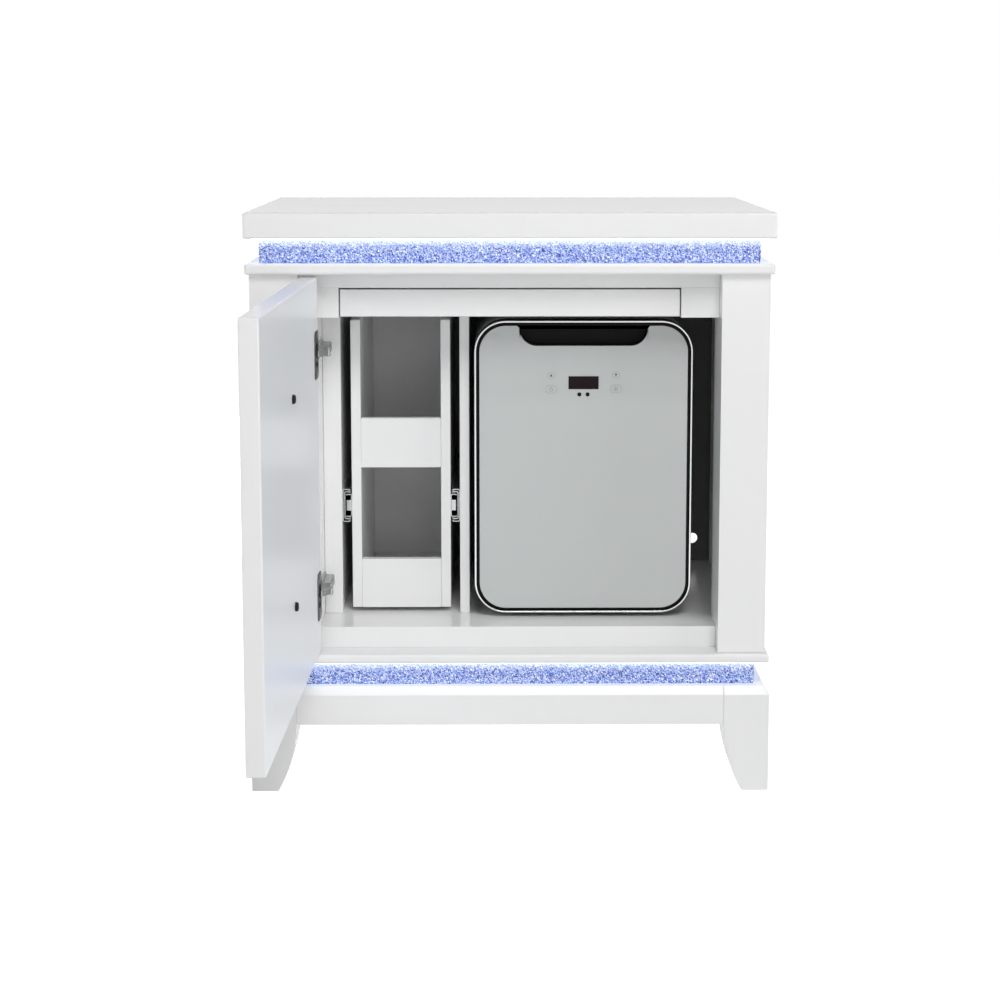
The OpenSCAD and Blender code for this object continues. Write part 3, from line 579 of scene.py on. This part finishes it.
class NIGHTSTAND_OT_hinges(bpy.types.Operator):
    """Press the hinge cups and fold the hinge arms"""

    bl_idname = "nightstand.hinges"
    bl_label = "Concealed hinges"

    def execute(self, context):
        # Nickel-plated pressed steel, tumbled: a soft satin shine.
        nickel = finish(
            "Nickel-plated steel", "#B0B2B1",
            roughness=0.36, spread=0.05, shade=0.04, grain=1.2, relief=0.002,
            **{"Metallic": 1.0},
        )
        # The same plating on the deep-drawn cups, painted darker and duller: painted shade that stands in
        # for the shade on the cups' plates.
        drawn = finish(
            "Nickel steel with painted shade", "#5C605F",
            roughness=0.38, spread=0.06, shade=0.05, grain=1.2, relief=0.004,
            **{"Metallic": 1.0},
        )
        low, high = closed_box("hinge_cups")
        half_width = (high.x - low.x) / 2
        half_height = 31  # of one cup's plate
        bm = bmesh.new()
        for z in (low.z + half_height, high.z - half_height):
            self.cup(bm, ((low.x + high.x) / 2, high.y, z), half_width, half_height, high.y - low.y)
        cups = add_piece(bm, "hinge_cup_plates", "door", drawn, ["hinge_cups"], DOOR_SWING)
        cups.data.materials.append(nickel)
        back = DOOR_SWING.inverted()
        # The screw heads take the plain plating, and the plate and cup the darker copy with painted shade.
        for face in cups.data.polygons:
            face.material_index = int((back @ face.center).y > (high.y + 0.05) * MM)
        low, high = box_mm("hinge_arms")
        inset = 24  # from the ends of the two arms' box to the middle of each
        bm = bmesh.new()
        for z in (low.z + inset, high.z - inset):
            self.arm(bm, low.x, z)
        add_piece(bm, "hinge_arm_channels", "cabinet", nickel, ["hinge_arms"])
        dress("hinge_links", nickel, 0.4)
        return {"FINISHED"}

    def cup(self, bm, centre, half_width, half_height, deep):
        """A plate with round corners, pressed into a cup at its middle, and a screw at each end."""
        mouth = half_width - 2.5
        # Each ring's height over the plate's face, and its radius from the mouth or the plate's edge. The
        # first lies on the cup's floor, the fourth on the mouth's lip, and the last under the floor.
        rings = (
            (1.0 - deep, "mouth", -3.5),
            (3.0 - deep, "mouth", -0.6),
            (-0.6, "mouth", -0.3),
            (0, "mouth", 0.4),
            (0, "edge", -0.4),
            (-0.3, "edge", 0),
            (-1.2, "edge", 0),
            (-1.2, "mouth", 0.7),
            (2.0 - deep, "mouth", 0.4),
            (0.1 - deep, "mouth", -2.6),
        )
        before = set(bm.verts)
        verts = bmesh.ops.create_circle(bm, segments=96, radius=MM)["verts"]
        floor = rim = once(e for v in verts for e in v.link_edges)
        for ring, (height, start, more) in enumerate(rings):
            if ring:
                made = bmesh.ops.extrude_edge_only(bm, edges=rim)
                verts = verts_of(made)
                rim = open_edges(made)
            for v in verts:
                way = v.co.xy.normalized()
                edge = self.reach(way, half_width, half_height)
                radius = (edge if start == "edge" else mouth) + more
                v.co = Vector((way.x * radius, way.y * radius, height)) * MM
        for loop in (floor, rim):
            bmesh.ops.contextual_create(bm, geom=loop)
        placed(bm, before, centre, "+Y")
        x, y, z = centre
        for side in (-1, 1):
            cross_head(bm, (x, y - 0.2, z + side * (half_height - 6.5)), 3.8, 0.9)

    def reach(self, way, half_width, half_height, corner=8.0):
        """How far a rectangle with round corners reaches from its middle in a direction."""
        ray = Vector((abs(way.x), abs(way.y)))
        bend = Vector((half_width - corner, half_height - corner))
        far = min(half_width / max(ray.x, 0.001), half_height / max(ray.y, 0.001))
        if ray.x * far > bend.x and ray.y * far > bend.y:
            along = ray.dot(bend)
            far = along + math.sqrt(max(along**2 - bend.length_squared + corner**2, 0))
        return far

    def arm(self, bm, wall, z):
        """A mounting plate, a folded arm with its screws, and the neck with the link's pin."""
        pin = Vector(JOINTS["hinge_link_swing"]["pos_m"]) / MM
        front = pin.y + 15
        top = wall + 13.4
        # The plate lies on the filler, and the arm is folded over it.
        block(bm, (wall, front + 6, z - 10), (wall + 3, front + 58, z + 10), 1.0)
        block(bm, (wall + 0.1, front, z - 7), (wall + 14, front + 54, z + 7), 2.8, 4, self.runs_back)
        cross_head(bm, (top, front + 12, z), 3.2, 1.6, "+X")
        cross_head(bm, (top, front + 40, z), 4.2, 1.6, "+X")
        # Two ears reach from the arm to the pin.
        for ear in (z - 5.7, z + 4.3):
            block(bm, (pin.x - 2, pin.y, ear), (pin.x + 2, front + 1, ear + 1.4), 0.3)
        turned(bm, [(0, -5), (1.2, -5), (1.2, 5), (0, 5)], (pin.x, pin.y, z), "+Z", 16)

    def runs_back(self, way):
        """Whether an edge runs from front to back."""
        return abs(way.y) > 0.9


class NIGHTSTAND_OT_crystal(bpy.types.Operator):
    """Cover the two friezes with crushed crystal"""

    bl_idname = "nightstand.crystal"
    bl_label = "Crystal bands"

    def execute(self, context):
        chip = context.scene.nightstand_sizes.chip
        material = self.crystal_finish()
        rnd = random.Random(11)
        for place in ("upper", "lower"):
            self.band(place, chip, material, rnd)
        return {"FINISHED"}

    def crystal_finish(self):
        """Crushed mirror-backed crystal: sharp chips of blue in many depths of tone, with painted light
        from the strip above, which pales the upper half and makes every chip glow faintly.
        """
        material = bpy.data.materials.new("Crushed crystal")
        material.use_nodes = True
        tree = material.node_tree
        tree.nodes.clear()
        chip = add_node(tree, "ShaderNodeAttribute", attribute_name="chip")
        painted_glow = add_node(tree, "ShaderNodeAttribute", attribute_name="painted_glow")
        ramp = add_node(tree, "ShaderNodeValToRGB", {"Fac": chip.outputs["Fac"]})
        stops = ramp.color_ramp.elements
        stops[0].color = rgba("#101F70")
        stops[1].color = rgba("#FFFFFF")
        for at, code in ((0.2, "#4A64C0"), (0.5, "#8EA5E8"), (0.78, "#C8D6F8")):
            stops.new(at).color = rgba(code)
        lit = add_node(
            tree,
            "ShaderNodeMix",
            {0: painted_glow.outputs["Fac"], 6: ramp.outputs["Color"], 7: rgba("#F4F7FF")},
            data_type="RGBA",
        )
        body = add_node(
            tree,
            "ShaderNodeBsdfPrincipled",
            {
                "Base Color": lit.outputs[2],
                "Roughness": 0.12,
                "IOR": 1.55,
                # Painted glow: the chips give off a faint light of their own colour, though they are no
                # lamp.
                "Emission Color": lit.outputs[2],
                "Emission Strength": 0.03,
            },
        )
        add_node(tree, "ShaderNodeOutputMaterial", {"Surface": body.outputs["BSDF"]})
        return material

    def band(self, place, chip, material, rnd):
        """One band: a grid of chips wrapped round the front and the two sides."""
        low, high = box_mm(f"{place}_crystal_band")
        thick = box_mm(f"{place}_frieze")[0].y - low.y
        deep, wide, tall = high.y - low.y, high.x - low.x, high.z - low.z
        length = 2 * deep + wide
        columns, rows = round(length / chip), round(tall / chip)
        step = length / columns
        shake = 0.38  # how far a corner may move, in chips
        deepest = 0.62  # how far in a corner may lie, in thicknesses of the band
        bm = bmesh.new()
        bmesh.ops.create_grid(bm, x_segments=columns, y_segments=rows, size=1.0)
        front = list(bm.verts)
        spots = {}
        for v in front:
            i = round((v.co.x + 1) / 2 * columns)
            j = round((v.co.y + 1) / 2 * rows)
            at = i / columns * length
            up = j / rows * tall
            corner = min((deep, deep + wide), key=lambda c: abs(c - at))
            on_edge = i in (0, columns) or j in (0, rows)
            if abs(corner - at) <= step / 2:
                at = corner
            elif 0 < i < columns and abs(corner - at) > step * 1.5:
                at += rnd.uniform(-shake, shake) * step
            if 0 < j < rows:
                up += rnd.uniform(-shake, shake) * tall / rows
            spots[v] = (at, up, thick * (0.5 if on_edge else rnd.uniform(0.0, deepest)))
        bmesh.ops.triangulate(bm, faces=bm.faces, quad_method="ALTERNATE")
        shell = bmesh.ops.duplicate(bm, geom=list(bm.verts) + list(bm.edges) + list(bm.faces))
        for v in front:
            spots[shell["vert_map"][v]] = (*spots[v][:2], thick)
        for v, (at, up, inward) in spots.items():
            v.co = self.wrap(low, high, at, up, inward, deep, length) * MM
        bmesh.ops.reverse_faces(bm, faces=[f for f in shell["geom"] if isinstance(f, bmesh.types.BMFace)])
        rim = [e for e in bm.edges if len(e.link_faces) == 1]
        bmesh.ops.bridge_loops(bm, edges=rim)
        bmesh.ops.recalc_face_normals(bm, faces=bm.faces)
        tone = bm.faces.layers.float.new("chip")
        painted_glow = bm.faces.layers.float.new("painted_glow")
        for face in bm.faces:
            height = (face.calc_center_median().z / MM - low.z) / tall
            face[tone] = rnd.random() ** 0.9
            # Painted light: the upper half is painted paler, towards white, as if washed out by the light
            # strip, with a ragged border.
            face[painted_glow] = min(max((height - 0.55 + rnd.uniform(-0.12, 0.12)) / 0.5, 0), 1)
        name = f"{place}_crystal_chips"
        add_piece(bm, name, "cabinet", material, [f"{place}_crystal_band"], flat=True)

    def wrap(self, low, high, at, up, inward, deep, length):
        """The point at a distance along the band, at a height and some way in from its face."""
        x = min(max(low.x + at - deep, low.x + inward), high.x - inward)
        y = max(low.y + inward, high.y - at, high.y - (length - at))
        return Vector((x, y, low.z + up))


class NIGHTSTAND_OT_lights(bpy.types.Operator):
    """Light the two strips above the crystal"""

    bl_idname = "nightstand.lights"
    bl_label = "Light strips"

    def execute(self, context):
        look = context.scene.nightstand_finish
        # A cool white diode strip behind a milky silicone cover.
        glowing = finish(
            "Lit silicone strip", "#F2F6FF", roughness=0.5,
            **{"Emission Color": rgba(look.light), "Emission Strength": look.light_strength},
        )
        dress("upper_light_strip lower_light_strip", glowing)
        return {"FINISHED"}


class NIGHTSTAND_OT_slides(bpy.types.Operator):
    """Roll the rack's ball-bearing slides and the tray's slides"""

    bl_idname = "nightstand.slides"
    bl_label = "Drawer slides"

    def execute(self, context):
        # Bright zinc-plated sheet steel, rolled along its length.
        zinc = finish(
            "Zinc-plated steel", "#B4B6B6",
            roughness=0.26, spread=0.06, shade=0.06, grain=1.0, relief=0.004, stretch=(1, 0.05, 1),
            **{"Metallic": 1.0},
        )
        low, high = box_mm("rack_slide_outers")
        deep = high.y - low.y
        tall = high.z - low.z
        # The lower half of each member's section, from its lip to its web.
        outer = [(10.2, 2.5), (10.2, 0.9), (9.3, 0), (1.6, 0), (0, 1.6)]
        middle = [(10.5, 5.3), (10.5, 4.3), (9.6, 3.4), (3.8, 3.4), (2.2, 5.0)]
        inner = [(4.4, 8.3), (4.4, 7.7), (5.3, 6.8), (11.1, 6.8), (12.7, 8.4)]
        members = [
            ("outer", "cabinet", outer, 0),
            ("middle", "rack_slide_middles", middle, 2),
            ("inner", "rack", inner, 0),
        ]
        for name, body, half, short in members:
            start, length = low.y + short, deep - 2 * short
            outline = half + [(x, tall - z) for x, z in reversed(half)]
            # The inner member's web faces the other way.
            if body == "rack":
                outline.reverse()
            bm = bmesh.new()
            for x, mirror in ((low.x, False), (high.x, True)):
                folded_strip(bm, outline, (x, start, low.z), length, mirror)
            if body == "rack":
                # The end piece at the front of each inner member, which shows beside the rack.
                for x, way in ((low.x, 1), (high.x, -1)):
                    ends = sorted((x + way * 5.0, x + way * 12.4))
                    block(bm, (ends[0], low.y - 0.2, low.z + 15), (ends[1], low.y + 3, low.z + 30), 1.2, 3)
            if body == "rack_slide_middles":
                for x, way in ((low.x, 1), (high.x, -1)):
                    for row in (2.3, 5.7, tall - 5.7, tall - 2.3):
                        self.balls(bm, x + way * 7.5, low.y + 6, low.y + deep - 6, low.z + row)
            add_piece(bm, f"rack_slide_{name}_rails", body, zinc, [f"rack_slide_{name}s"])
        dress("tray_slide_outers tray_slide_inners", zinc, 0.3)
        return {"FINISHED"}

    def balls(self, bm, x, y0, y1, z):
        """A row of steel balls in their thin retainer."""
        count, radius = 24, 1.1
        first, last = y0 + 1.2, y1 - 1.2
        for i in range(count):
            y = first + (last - first) * i / (count - 1)
            verts = bmesh.ops.create_uvsphere(bm, u_segments=8, v_segments=6, radius=radius * MM)["verts"]
            bmesh.ops.translate(bm, vec=Vector((x, y, z)) * MM, verts=verts)
        block(bm, (x - 1.6, y0, z - 0.3), (x + 1.6, y1, z + 0.3), 0.15)


class NIGHTSTAND_OT_refrigerator(bpy.types.Operator):
    """Finish the refrigerator's case, its inside, and the cooler and grille behind"""

    bl_idname = "nightstand.refrigerator"
    bl_label = "Refrigerator case"

    def execute(self, context):
        # Moulded ABS with a fine spark texture.
        shell = finish(
            "Pale moulded shell", "#C9CCCC",
            roughness=0.42, spread=0.04, shade=0.02, grain=0.8, relief=0.02,
        )
        # Vacuum-formed polystyrene: smooth and slightly wavy.
        tub = finish(
            "White formed liner", "#ECEEEE",
            roughness=0.28, spread=0.05, shade=0.01, grain=6.0, relief=0.03,
        )
        # Black moulded ABS with a low shine.
        black = finish(
            "Black moulded plastic", "#161617",
            roughness=0.36, spread=0.05, shade=0.04, grain=0.7, relief=0.012,
        )
        # Extruded aluminium, unpolished: dull, with fine lines along the fins.
        fins = finish(
            "Extruded aluminium", "#B9BBBD",
            roughness=0.34, spread=0.06, shade=0.05, grain=0.8, relief=0.006, stretch=(1, 1, 0.06),
            **{"Metallic": 1.0},
        )
        # Tempered glass: clear and faintly green.
        clear = finish(
            "Clear shelf glass", "#EAF4F0", roughness=0.03, spread=0.01, shade=0.01,
            **{"Transmission Weight": 1.0, "IOR": 1.5},
        )
        bm = merged_copy("fridge_case")
        ease(bm, 1.2, shortest=1.0, segments=3)
        add_piece(bm, "fridge_shell", "cabinet", shell, ["fridge_case"])
        dress("fridge_liner", tub, 0.4)
        dress("fridge_shelf", clear)
        dress("cooling_block", fins, 0.2, 1)
        dress("fan_frame", black, 0.4)
        dress("fan_rotor", black, 0.2, 1)
        dress("fridge_feet", black, 0.6)
        dress("rear_grille", black, 0.4)
        # Nickel-plated brass pins: bright and slightly warm.
        pins = finish("Nickel-plated pins", "#C9C5B8", roughness=0.2, **{"Metallic": 1.0})
        low, high = box_mm("rear_grille")
        profile = [(0, 0), (1.2, 0), (1.2, 4.2), (0.7, 5), (0, 5)]
        bm = bmesh.new()
        for side in (-4, 4):
            turned(bm, profile, ((low.x + high.x) / 2 + side, high.y - 6.2, low.z + 13), "+Y", 16)
        add_piece(bm, "inlet_pins", "cabinet", pins)
        return {"FINISHED"}


class NIGHTSTAND_OT_refrigerator_door(bpy.types.Operator):
    """Finish the refrigerator's door and print its touch marks"""

    bl_idname = "nightstand.refrigerator_door"
    bl_label = "Refrigerator door"

    def execute(self, context):
        look = context.scene.nightstand_finish
        # Black ABS, moulded smooth: a deep black with a low, soft shine.
        black = finish(
            "Gloss black plastic", "#0B0B0C",
            roughness=0.4, spread=0.04, shade=0.02, grain=3.0, relief=0.004,
            **{"Specular IOR Level": 0.1},
        )
        # Tempered glass back-painted in a pale grey: the paint's colour under a clear gloss.
        glass = finish(
            "Back-painted glass", look.glass, roughness=0.24, spread=0.02, shade=0.008, grain=4.0,
            **{"Coat Weight": 1.0, "Coat Roughness": 0.05},
        )
        # Chrome-plated plastic, brushed to a satin.
        rim = finish(
            "Satin chrome trim", "#D9DBDA", roughness=0.22, spread=0.05, shade=0.03, grain=0.8,
            **{"Metallic": 1.0},
        )
        # Soft PVC gasket, extruded: matt.
        seal = finish(
            "Grey gasket", "#8B8D8E", roughness=0.6, spread=0.05, shade=0.02, grain=0.8, relief=0.01,
        )
        # Smoked acrylic over an unlit red display: almost black, with a red cast.
        display = finish(
            "Smoked display window", "#1A0E11", roughness=0.3, spread=0.02, shade=0.3, grain=0.4,
            **{"Specular IOR Level": 0.1},
        )
        bm = merged_copy("fridge_door_frame")
        ease(bm, 0.5, shortest=1.5)
        add_piece(bm, "fridge_door_shell", "fridge_door", black, ["fridge_door_frame"])
        bm = merged_copy("fridge_door_glass")
        ease(bm, 0.5, shortest=0.4)
        add_piece(bm, "fridge_front_glass", "fridge_door", glass, ["fridge_door_glass"])
        bm = merged_copy("fridge_door_rim")
        self.open_up(bm, 0.9)
        ease(bm, 0.7, segments=3)
        add_piece(bm, "fridge_door_trim", "fridge_door", rim, ["fridge_door_rim"])
        dress("fridge_door_seal", seal, 0.5)
        dress("display_window", display)
        dress("fridge_hinge_brackets", bpy.data.materials["Nickel-plated steel"], 0.3)
        self.touch_marks(context.scene.nightstand_sizes.print_line)
        return {"FINISHED"}

    def open_up(self, bm, more):
        """Moves a ring's inner wall outwards by a width in millimetres, so that its face is thinner."""
        middle = sum((v.co for v in bm.verts), Vector()) / len(bm.verts)
        walls = [f for f in bm.faces if abs(f.normal.y) < 0.5]
        inner = [f for f in walls if f.normal.dot(f.calc_center_median() - middle) < 0]
        verts = once(v for f in inner for v in f.verts)
        reach = Vector([max(abs(v.co[i] - middle[i]) for v in verts) for i in range(3)])
        spread = Vector((1 + more * MM / reach.x, 1, 1 + more * MM / reach.z))
        bmesh.ops.scale(bm, vec=spread, verts=verts, space=Matrix.Translation(-middle))

    def touch_marks(self, line):
        """Four printed outlines on the glass: up, power, down and mode."""
        # Screen-printed ink, matt.
        pale = finish("Pale printed ink", "#8F9594", roughness=0.6)
        dark = finish("Dark printed ink", "#2E3332", roughness=0.6)
        low, high = box_mm("display_window")
        glass = box_mm("fridge_door_glass")[0].y
        mid, top = (low.x + high.x) / 2, high.z
        # Where the four stand, across and up from the middle of the display's top edge.
        up, power, down, mode = (-43, 0.9), (-43, -17.6), (43, 1.9), (43, -17.1)
        outlines, solids = bmesh.new(), bmesh.new()
        for (x, z), wide, tall in ((up, 10, 7.5), (power, 15, 11), (down, 10, 7.5), (mode, 15, 11)):
            self.ring(outlines, mid + x, glass, top + z, wide, tall, min(wide, tall) * 0.4, line)
        # The power ring and the dial.
        for x, z in (power, mode):
            self.ring(outlines, mid + x, glass, top + z, 5.6, 5.6, 2.8, 1.4 * line)
        # A stroke over the power ring's middle, and one through the dial.
        for (x, z), foot, tip in ((power, 1.0, 3.8), (mode, -1.7, 1.7)):
            corner = (mid + x - 0.3, glass - INK_T, top + z + foot)
            block(outlines, corner, (mid + x + 0.3, glass, top + z + tip))
        for (x, z), way in ((up, 1), (down, -1)):
            made = bmesh.ops.create_circle(solids, cap_ends=True, segments=3, radius=2.1 * MM)["verts"]
            place = Matrix.Translation(Vector((mid + x, glass - INK_T, top + z - 0.2 * way)) * MM)
            place = place @ Matrix.Diagonal((1, 1, way, 1)) @ Matrix.Rotation(math.radians(90), 4, "X")
            bmesh.ops.transform(solids, matrix=place, verts=made)
            raised = bmesh.ops.extrude_face_region(solids, geom=[made[0].link_faces[0]])
            bmesh.ops.translate(solids, vec=(0, INK_T * MM, 0), verts=verts_of(raised))
        for bm, name, ink in ((outlines, "touch_outlines", pale), (solids, "touch_arrows", dark)):
            bmesh.ops.recalc_face_normals(bm, faces=bm.faces)
            add_piece(bm, name, "fridge_door", ink)

    def ring(self, bm, x, y, z, wide, tall, corner, line):
        """A thin raised outline with round corners."""
        made = bmesh.ops.create_grid(bm, x_segments=1, y_segments=1, size=0.5)["verts"]
        for v in made:
            v.co = Vector((x + v.co.x * wide, y - INK_T, z + v.co.y * tall)) * MM
        face = rounded(bm, made, corner, 6, affect="VERTICES")["verts"][0].link_faces[0]
        inset = bmesh.ops.inset_region(bm, faces=[face], thickness=line * MM, depth=0.0, use_boundary=True)
        bmesh.ops.delete(bm, geom=[face], context="FACES_ONLY")
        raised = bmesh.ops.extrude_face_region(bm, geom=inset["faces"])
        bmesh.ops.translate(bm, vec=(0, INK_T * MM, 0), verts=verts_of(raised))


class NIGHTSTAND_OT_stage(bpy.types.Operator):
    """Set up the floor, the white surroundings, the lamps and the camera"""

    bl_idname = "nightstand.stage"
    bl_label = "Studio"

    def execute(self, context):
        scene = context.scene
        scene.view_settings.view_transform = "Standard"
        self.floor()
        self.surroundings(scene)
        self.lamp("Front softbox", (0.5, -3.4, 0.9), (0, 0, 0.45), 2.0, 17)
        self.lamp("High softbox", (0.5, -2.3, 3.0), (0, 0, 0.45), 1.4, 52, shines=True)
        self.lamp("Right softbox", (3.2, -0.9, 0.8), (0, 0, 0.4), 1.6, 27)
        self.lamp("Left softbox", (-3.2, -0.9, 0.9), (0, 0, 0.4), 1.6, 22)
        self.lamp("Rear softbox", (-0.6, 3.4, 0.7), (0, 0, 0.4), 1.8, 44)
        camera = bpy.data.cameras.new("Camera")
        camera.sensor_width = 36
        camera.lens = 75.689
        camera.shift_x = -0.01103
        camera.shift_y = -0.1
        camera.clip_end = 50
        # The camera is fitted to the photo. Its distance is taken from the top's front edge.
        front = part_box("top_slab")[0].y
        eye = bpy.data.objects.new("Camera", camera)
        eye.location = (-0.01936, front - 2.67517, 0.88988)
        eye.rotation_euler = (math.pi / 2 - 0.13734, 0, -0.00762)
        scene.collection.objects.link(eye)
        scene.camera = eye
        return {"FINISHED"}

    def white_rays(self, tree):
        """1 for rays that should see plain white: from the camera, from gloss and through glass."""
        path = add_node(tree, "ShaderNodeLightPath").outputs
        white = path["Is Camera Ray"]
        for kind in ("Is Glossy Ray", "Is Transmission Ray"):
            either = add_node(tree, "ShaderNodeMath", {0: white, 1: path[kind]}, operation="MAXIMUM")
            white = either.outputs[0]
        return white

    def floor(self):
        """A pale floor that keeps the object's shadow."""
        bm = bmesh.new()
        bmesh.ops.create_grid(bm, x_segments=1, y_segments=1, size=12.0)
        mesh = bpy.data.meshes.new("Floor")
        bm.to_mesh(mesh)
        bm.free()
        floor = bpy.data.objects.new("Floor", mesh)
        bpy.context.scene.collection.objects.link(floor)
        material = bpy.data.materials.new("Pale floor")
        material.use_nodes = True
        tree = material.node_tree
        tree.nodes.clear()
        matt = add_node(tree, "ShaderNodeBsdfDiffuse", {"Color": rgba("#EDEDED")})
        # The floor's own light makes up what it lacks to white, but only for the rays that see it.
        lift = add_node(tree, "ShaderNodeMath", {0: self.white_rays(tree), 1: 0.85}, operation="MULTIPLY")
        shine = add_node(
            tree, "ShaderNodeEmission", {"Color": rgba("#FFFFFF"), "Strength": lift.outputs[0]}
        )
        both = add_node(tree, "ShaderNodeAddShader", {0: matt.outputs[0], 1: shine.outputs[0]})
        add_node(tree, "ShaderNodeOutputMaterial", {"Surface": both.outputs[0]})
        mesh.materials.append(material)

    def surroundings(self, scene):
        """White for what is seen and a plain level of soft light for what is lit."""
        world = bpy.data.worlds.new("Studio")
        world.use_nodes = True
        tree = world.node_tree
        tree.nodes.clear()
        soft = add_node(tree, "ShaderNodeBackground", {"Color": rgba("#FFFFFF"), "Strength": 0.2})
        seen = add_node(tree, "ShaderNodeBackground", {"Color": rgba("#FFFFFF"), "Strength": 1.0})
        both = add_node(
            tree, "ShaderNodeMixShader", {0: self.white_rays(tree), 1: soft.outputs[0], 2: seen.outputs[0]}
        )
        add_node(tree, "ShaderNodeOutputWorld", {"Surface": both.outputs[0]})
        scene.world = world

    def lamp(self, name, place, aim, size, power, shines=False):
        """A square softbox that faces a point. Only one that shines is seen in gloss."""
        light = bpy.data.lights.new(name, "AREA")
        light.size = size
        light.energy = power
        lamp = bpy.data.objects.new(name, light)
        lamp.location = place
        lamp.visible_glossy = shines
        lamp.rotation_euler = (Vector(aim) - Vector(place)).to_track_quat("-Z", "Y").to_euler()
        bpy.context.scene.collection.objects.link(lamp)


OPERATORS = [
    NIGHTSTAND_OT_boards,
    NIGHTSTAND_OT_door,
    NIGHTSTAND_OT_knobs,
    NIGHTSTAND_OT_hinges,
    NIGHTSTAND_OT_crystal,
    NIGHTSTAND_OT_lights,
    NIGHTSTAND_OT_slides,
    NIGHTSTAND_OT_refrigerator,
    NIGHTSTAND_OT_refrigerator_door,
    NIGHTSTAND_OT_stage,
]


class NIGHTSTAND_PT_sidebar(bpy.types.Panel):
    """Finishes, sizes and steps of the nightstand"""

    bl_label = "Nightstand"
    bl_space_type = "VIEW_3D"
    bl_region_type = "UI"
    bl_category = "Nightstand"

    def draw(self, context):
        for group in (context.scene.nightstand_finish, context.scene.nightstand_sizes):
            for name in group.__annotations__:
                self.layout.prop(group, name)
        for operator in OPERATORS:
            self.layout.operator(operator.bl_idname)


CLASSES = [NightstandFinish, NightstandSizes, *OPERATORS, NIGHTSTAND_PT_sidebar]


def register():
    for made in CLASSES:
        bpy.utils.register_class(made)
    bpy.types.Scene.nightstand_finish = bpy.props.PointerProperty(type=NightstandFinish)
    bpy.types.Scene.nightstand_sizes = bpy.props.PointerProperty(type=NightstandSizes)


def unregister():
    del bpy.types.Scene.nightstand_sizes
    del bpy.types.Scene.nightstand_finish
    for made in reversed(CLASSES):
        bpy.utils.unregister_class(made)


def main():
    register()
    for operator in OPERATORS:
        group, name = operator.bl_idname.split(".")
        getattr(getattr(bpy.ops, group), name)()


if __name__ == "__main__":
    main()
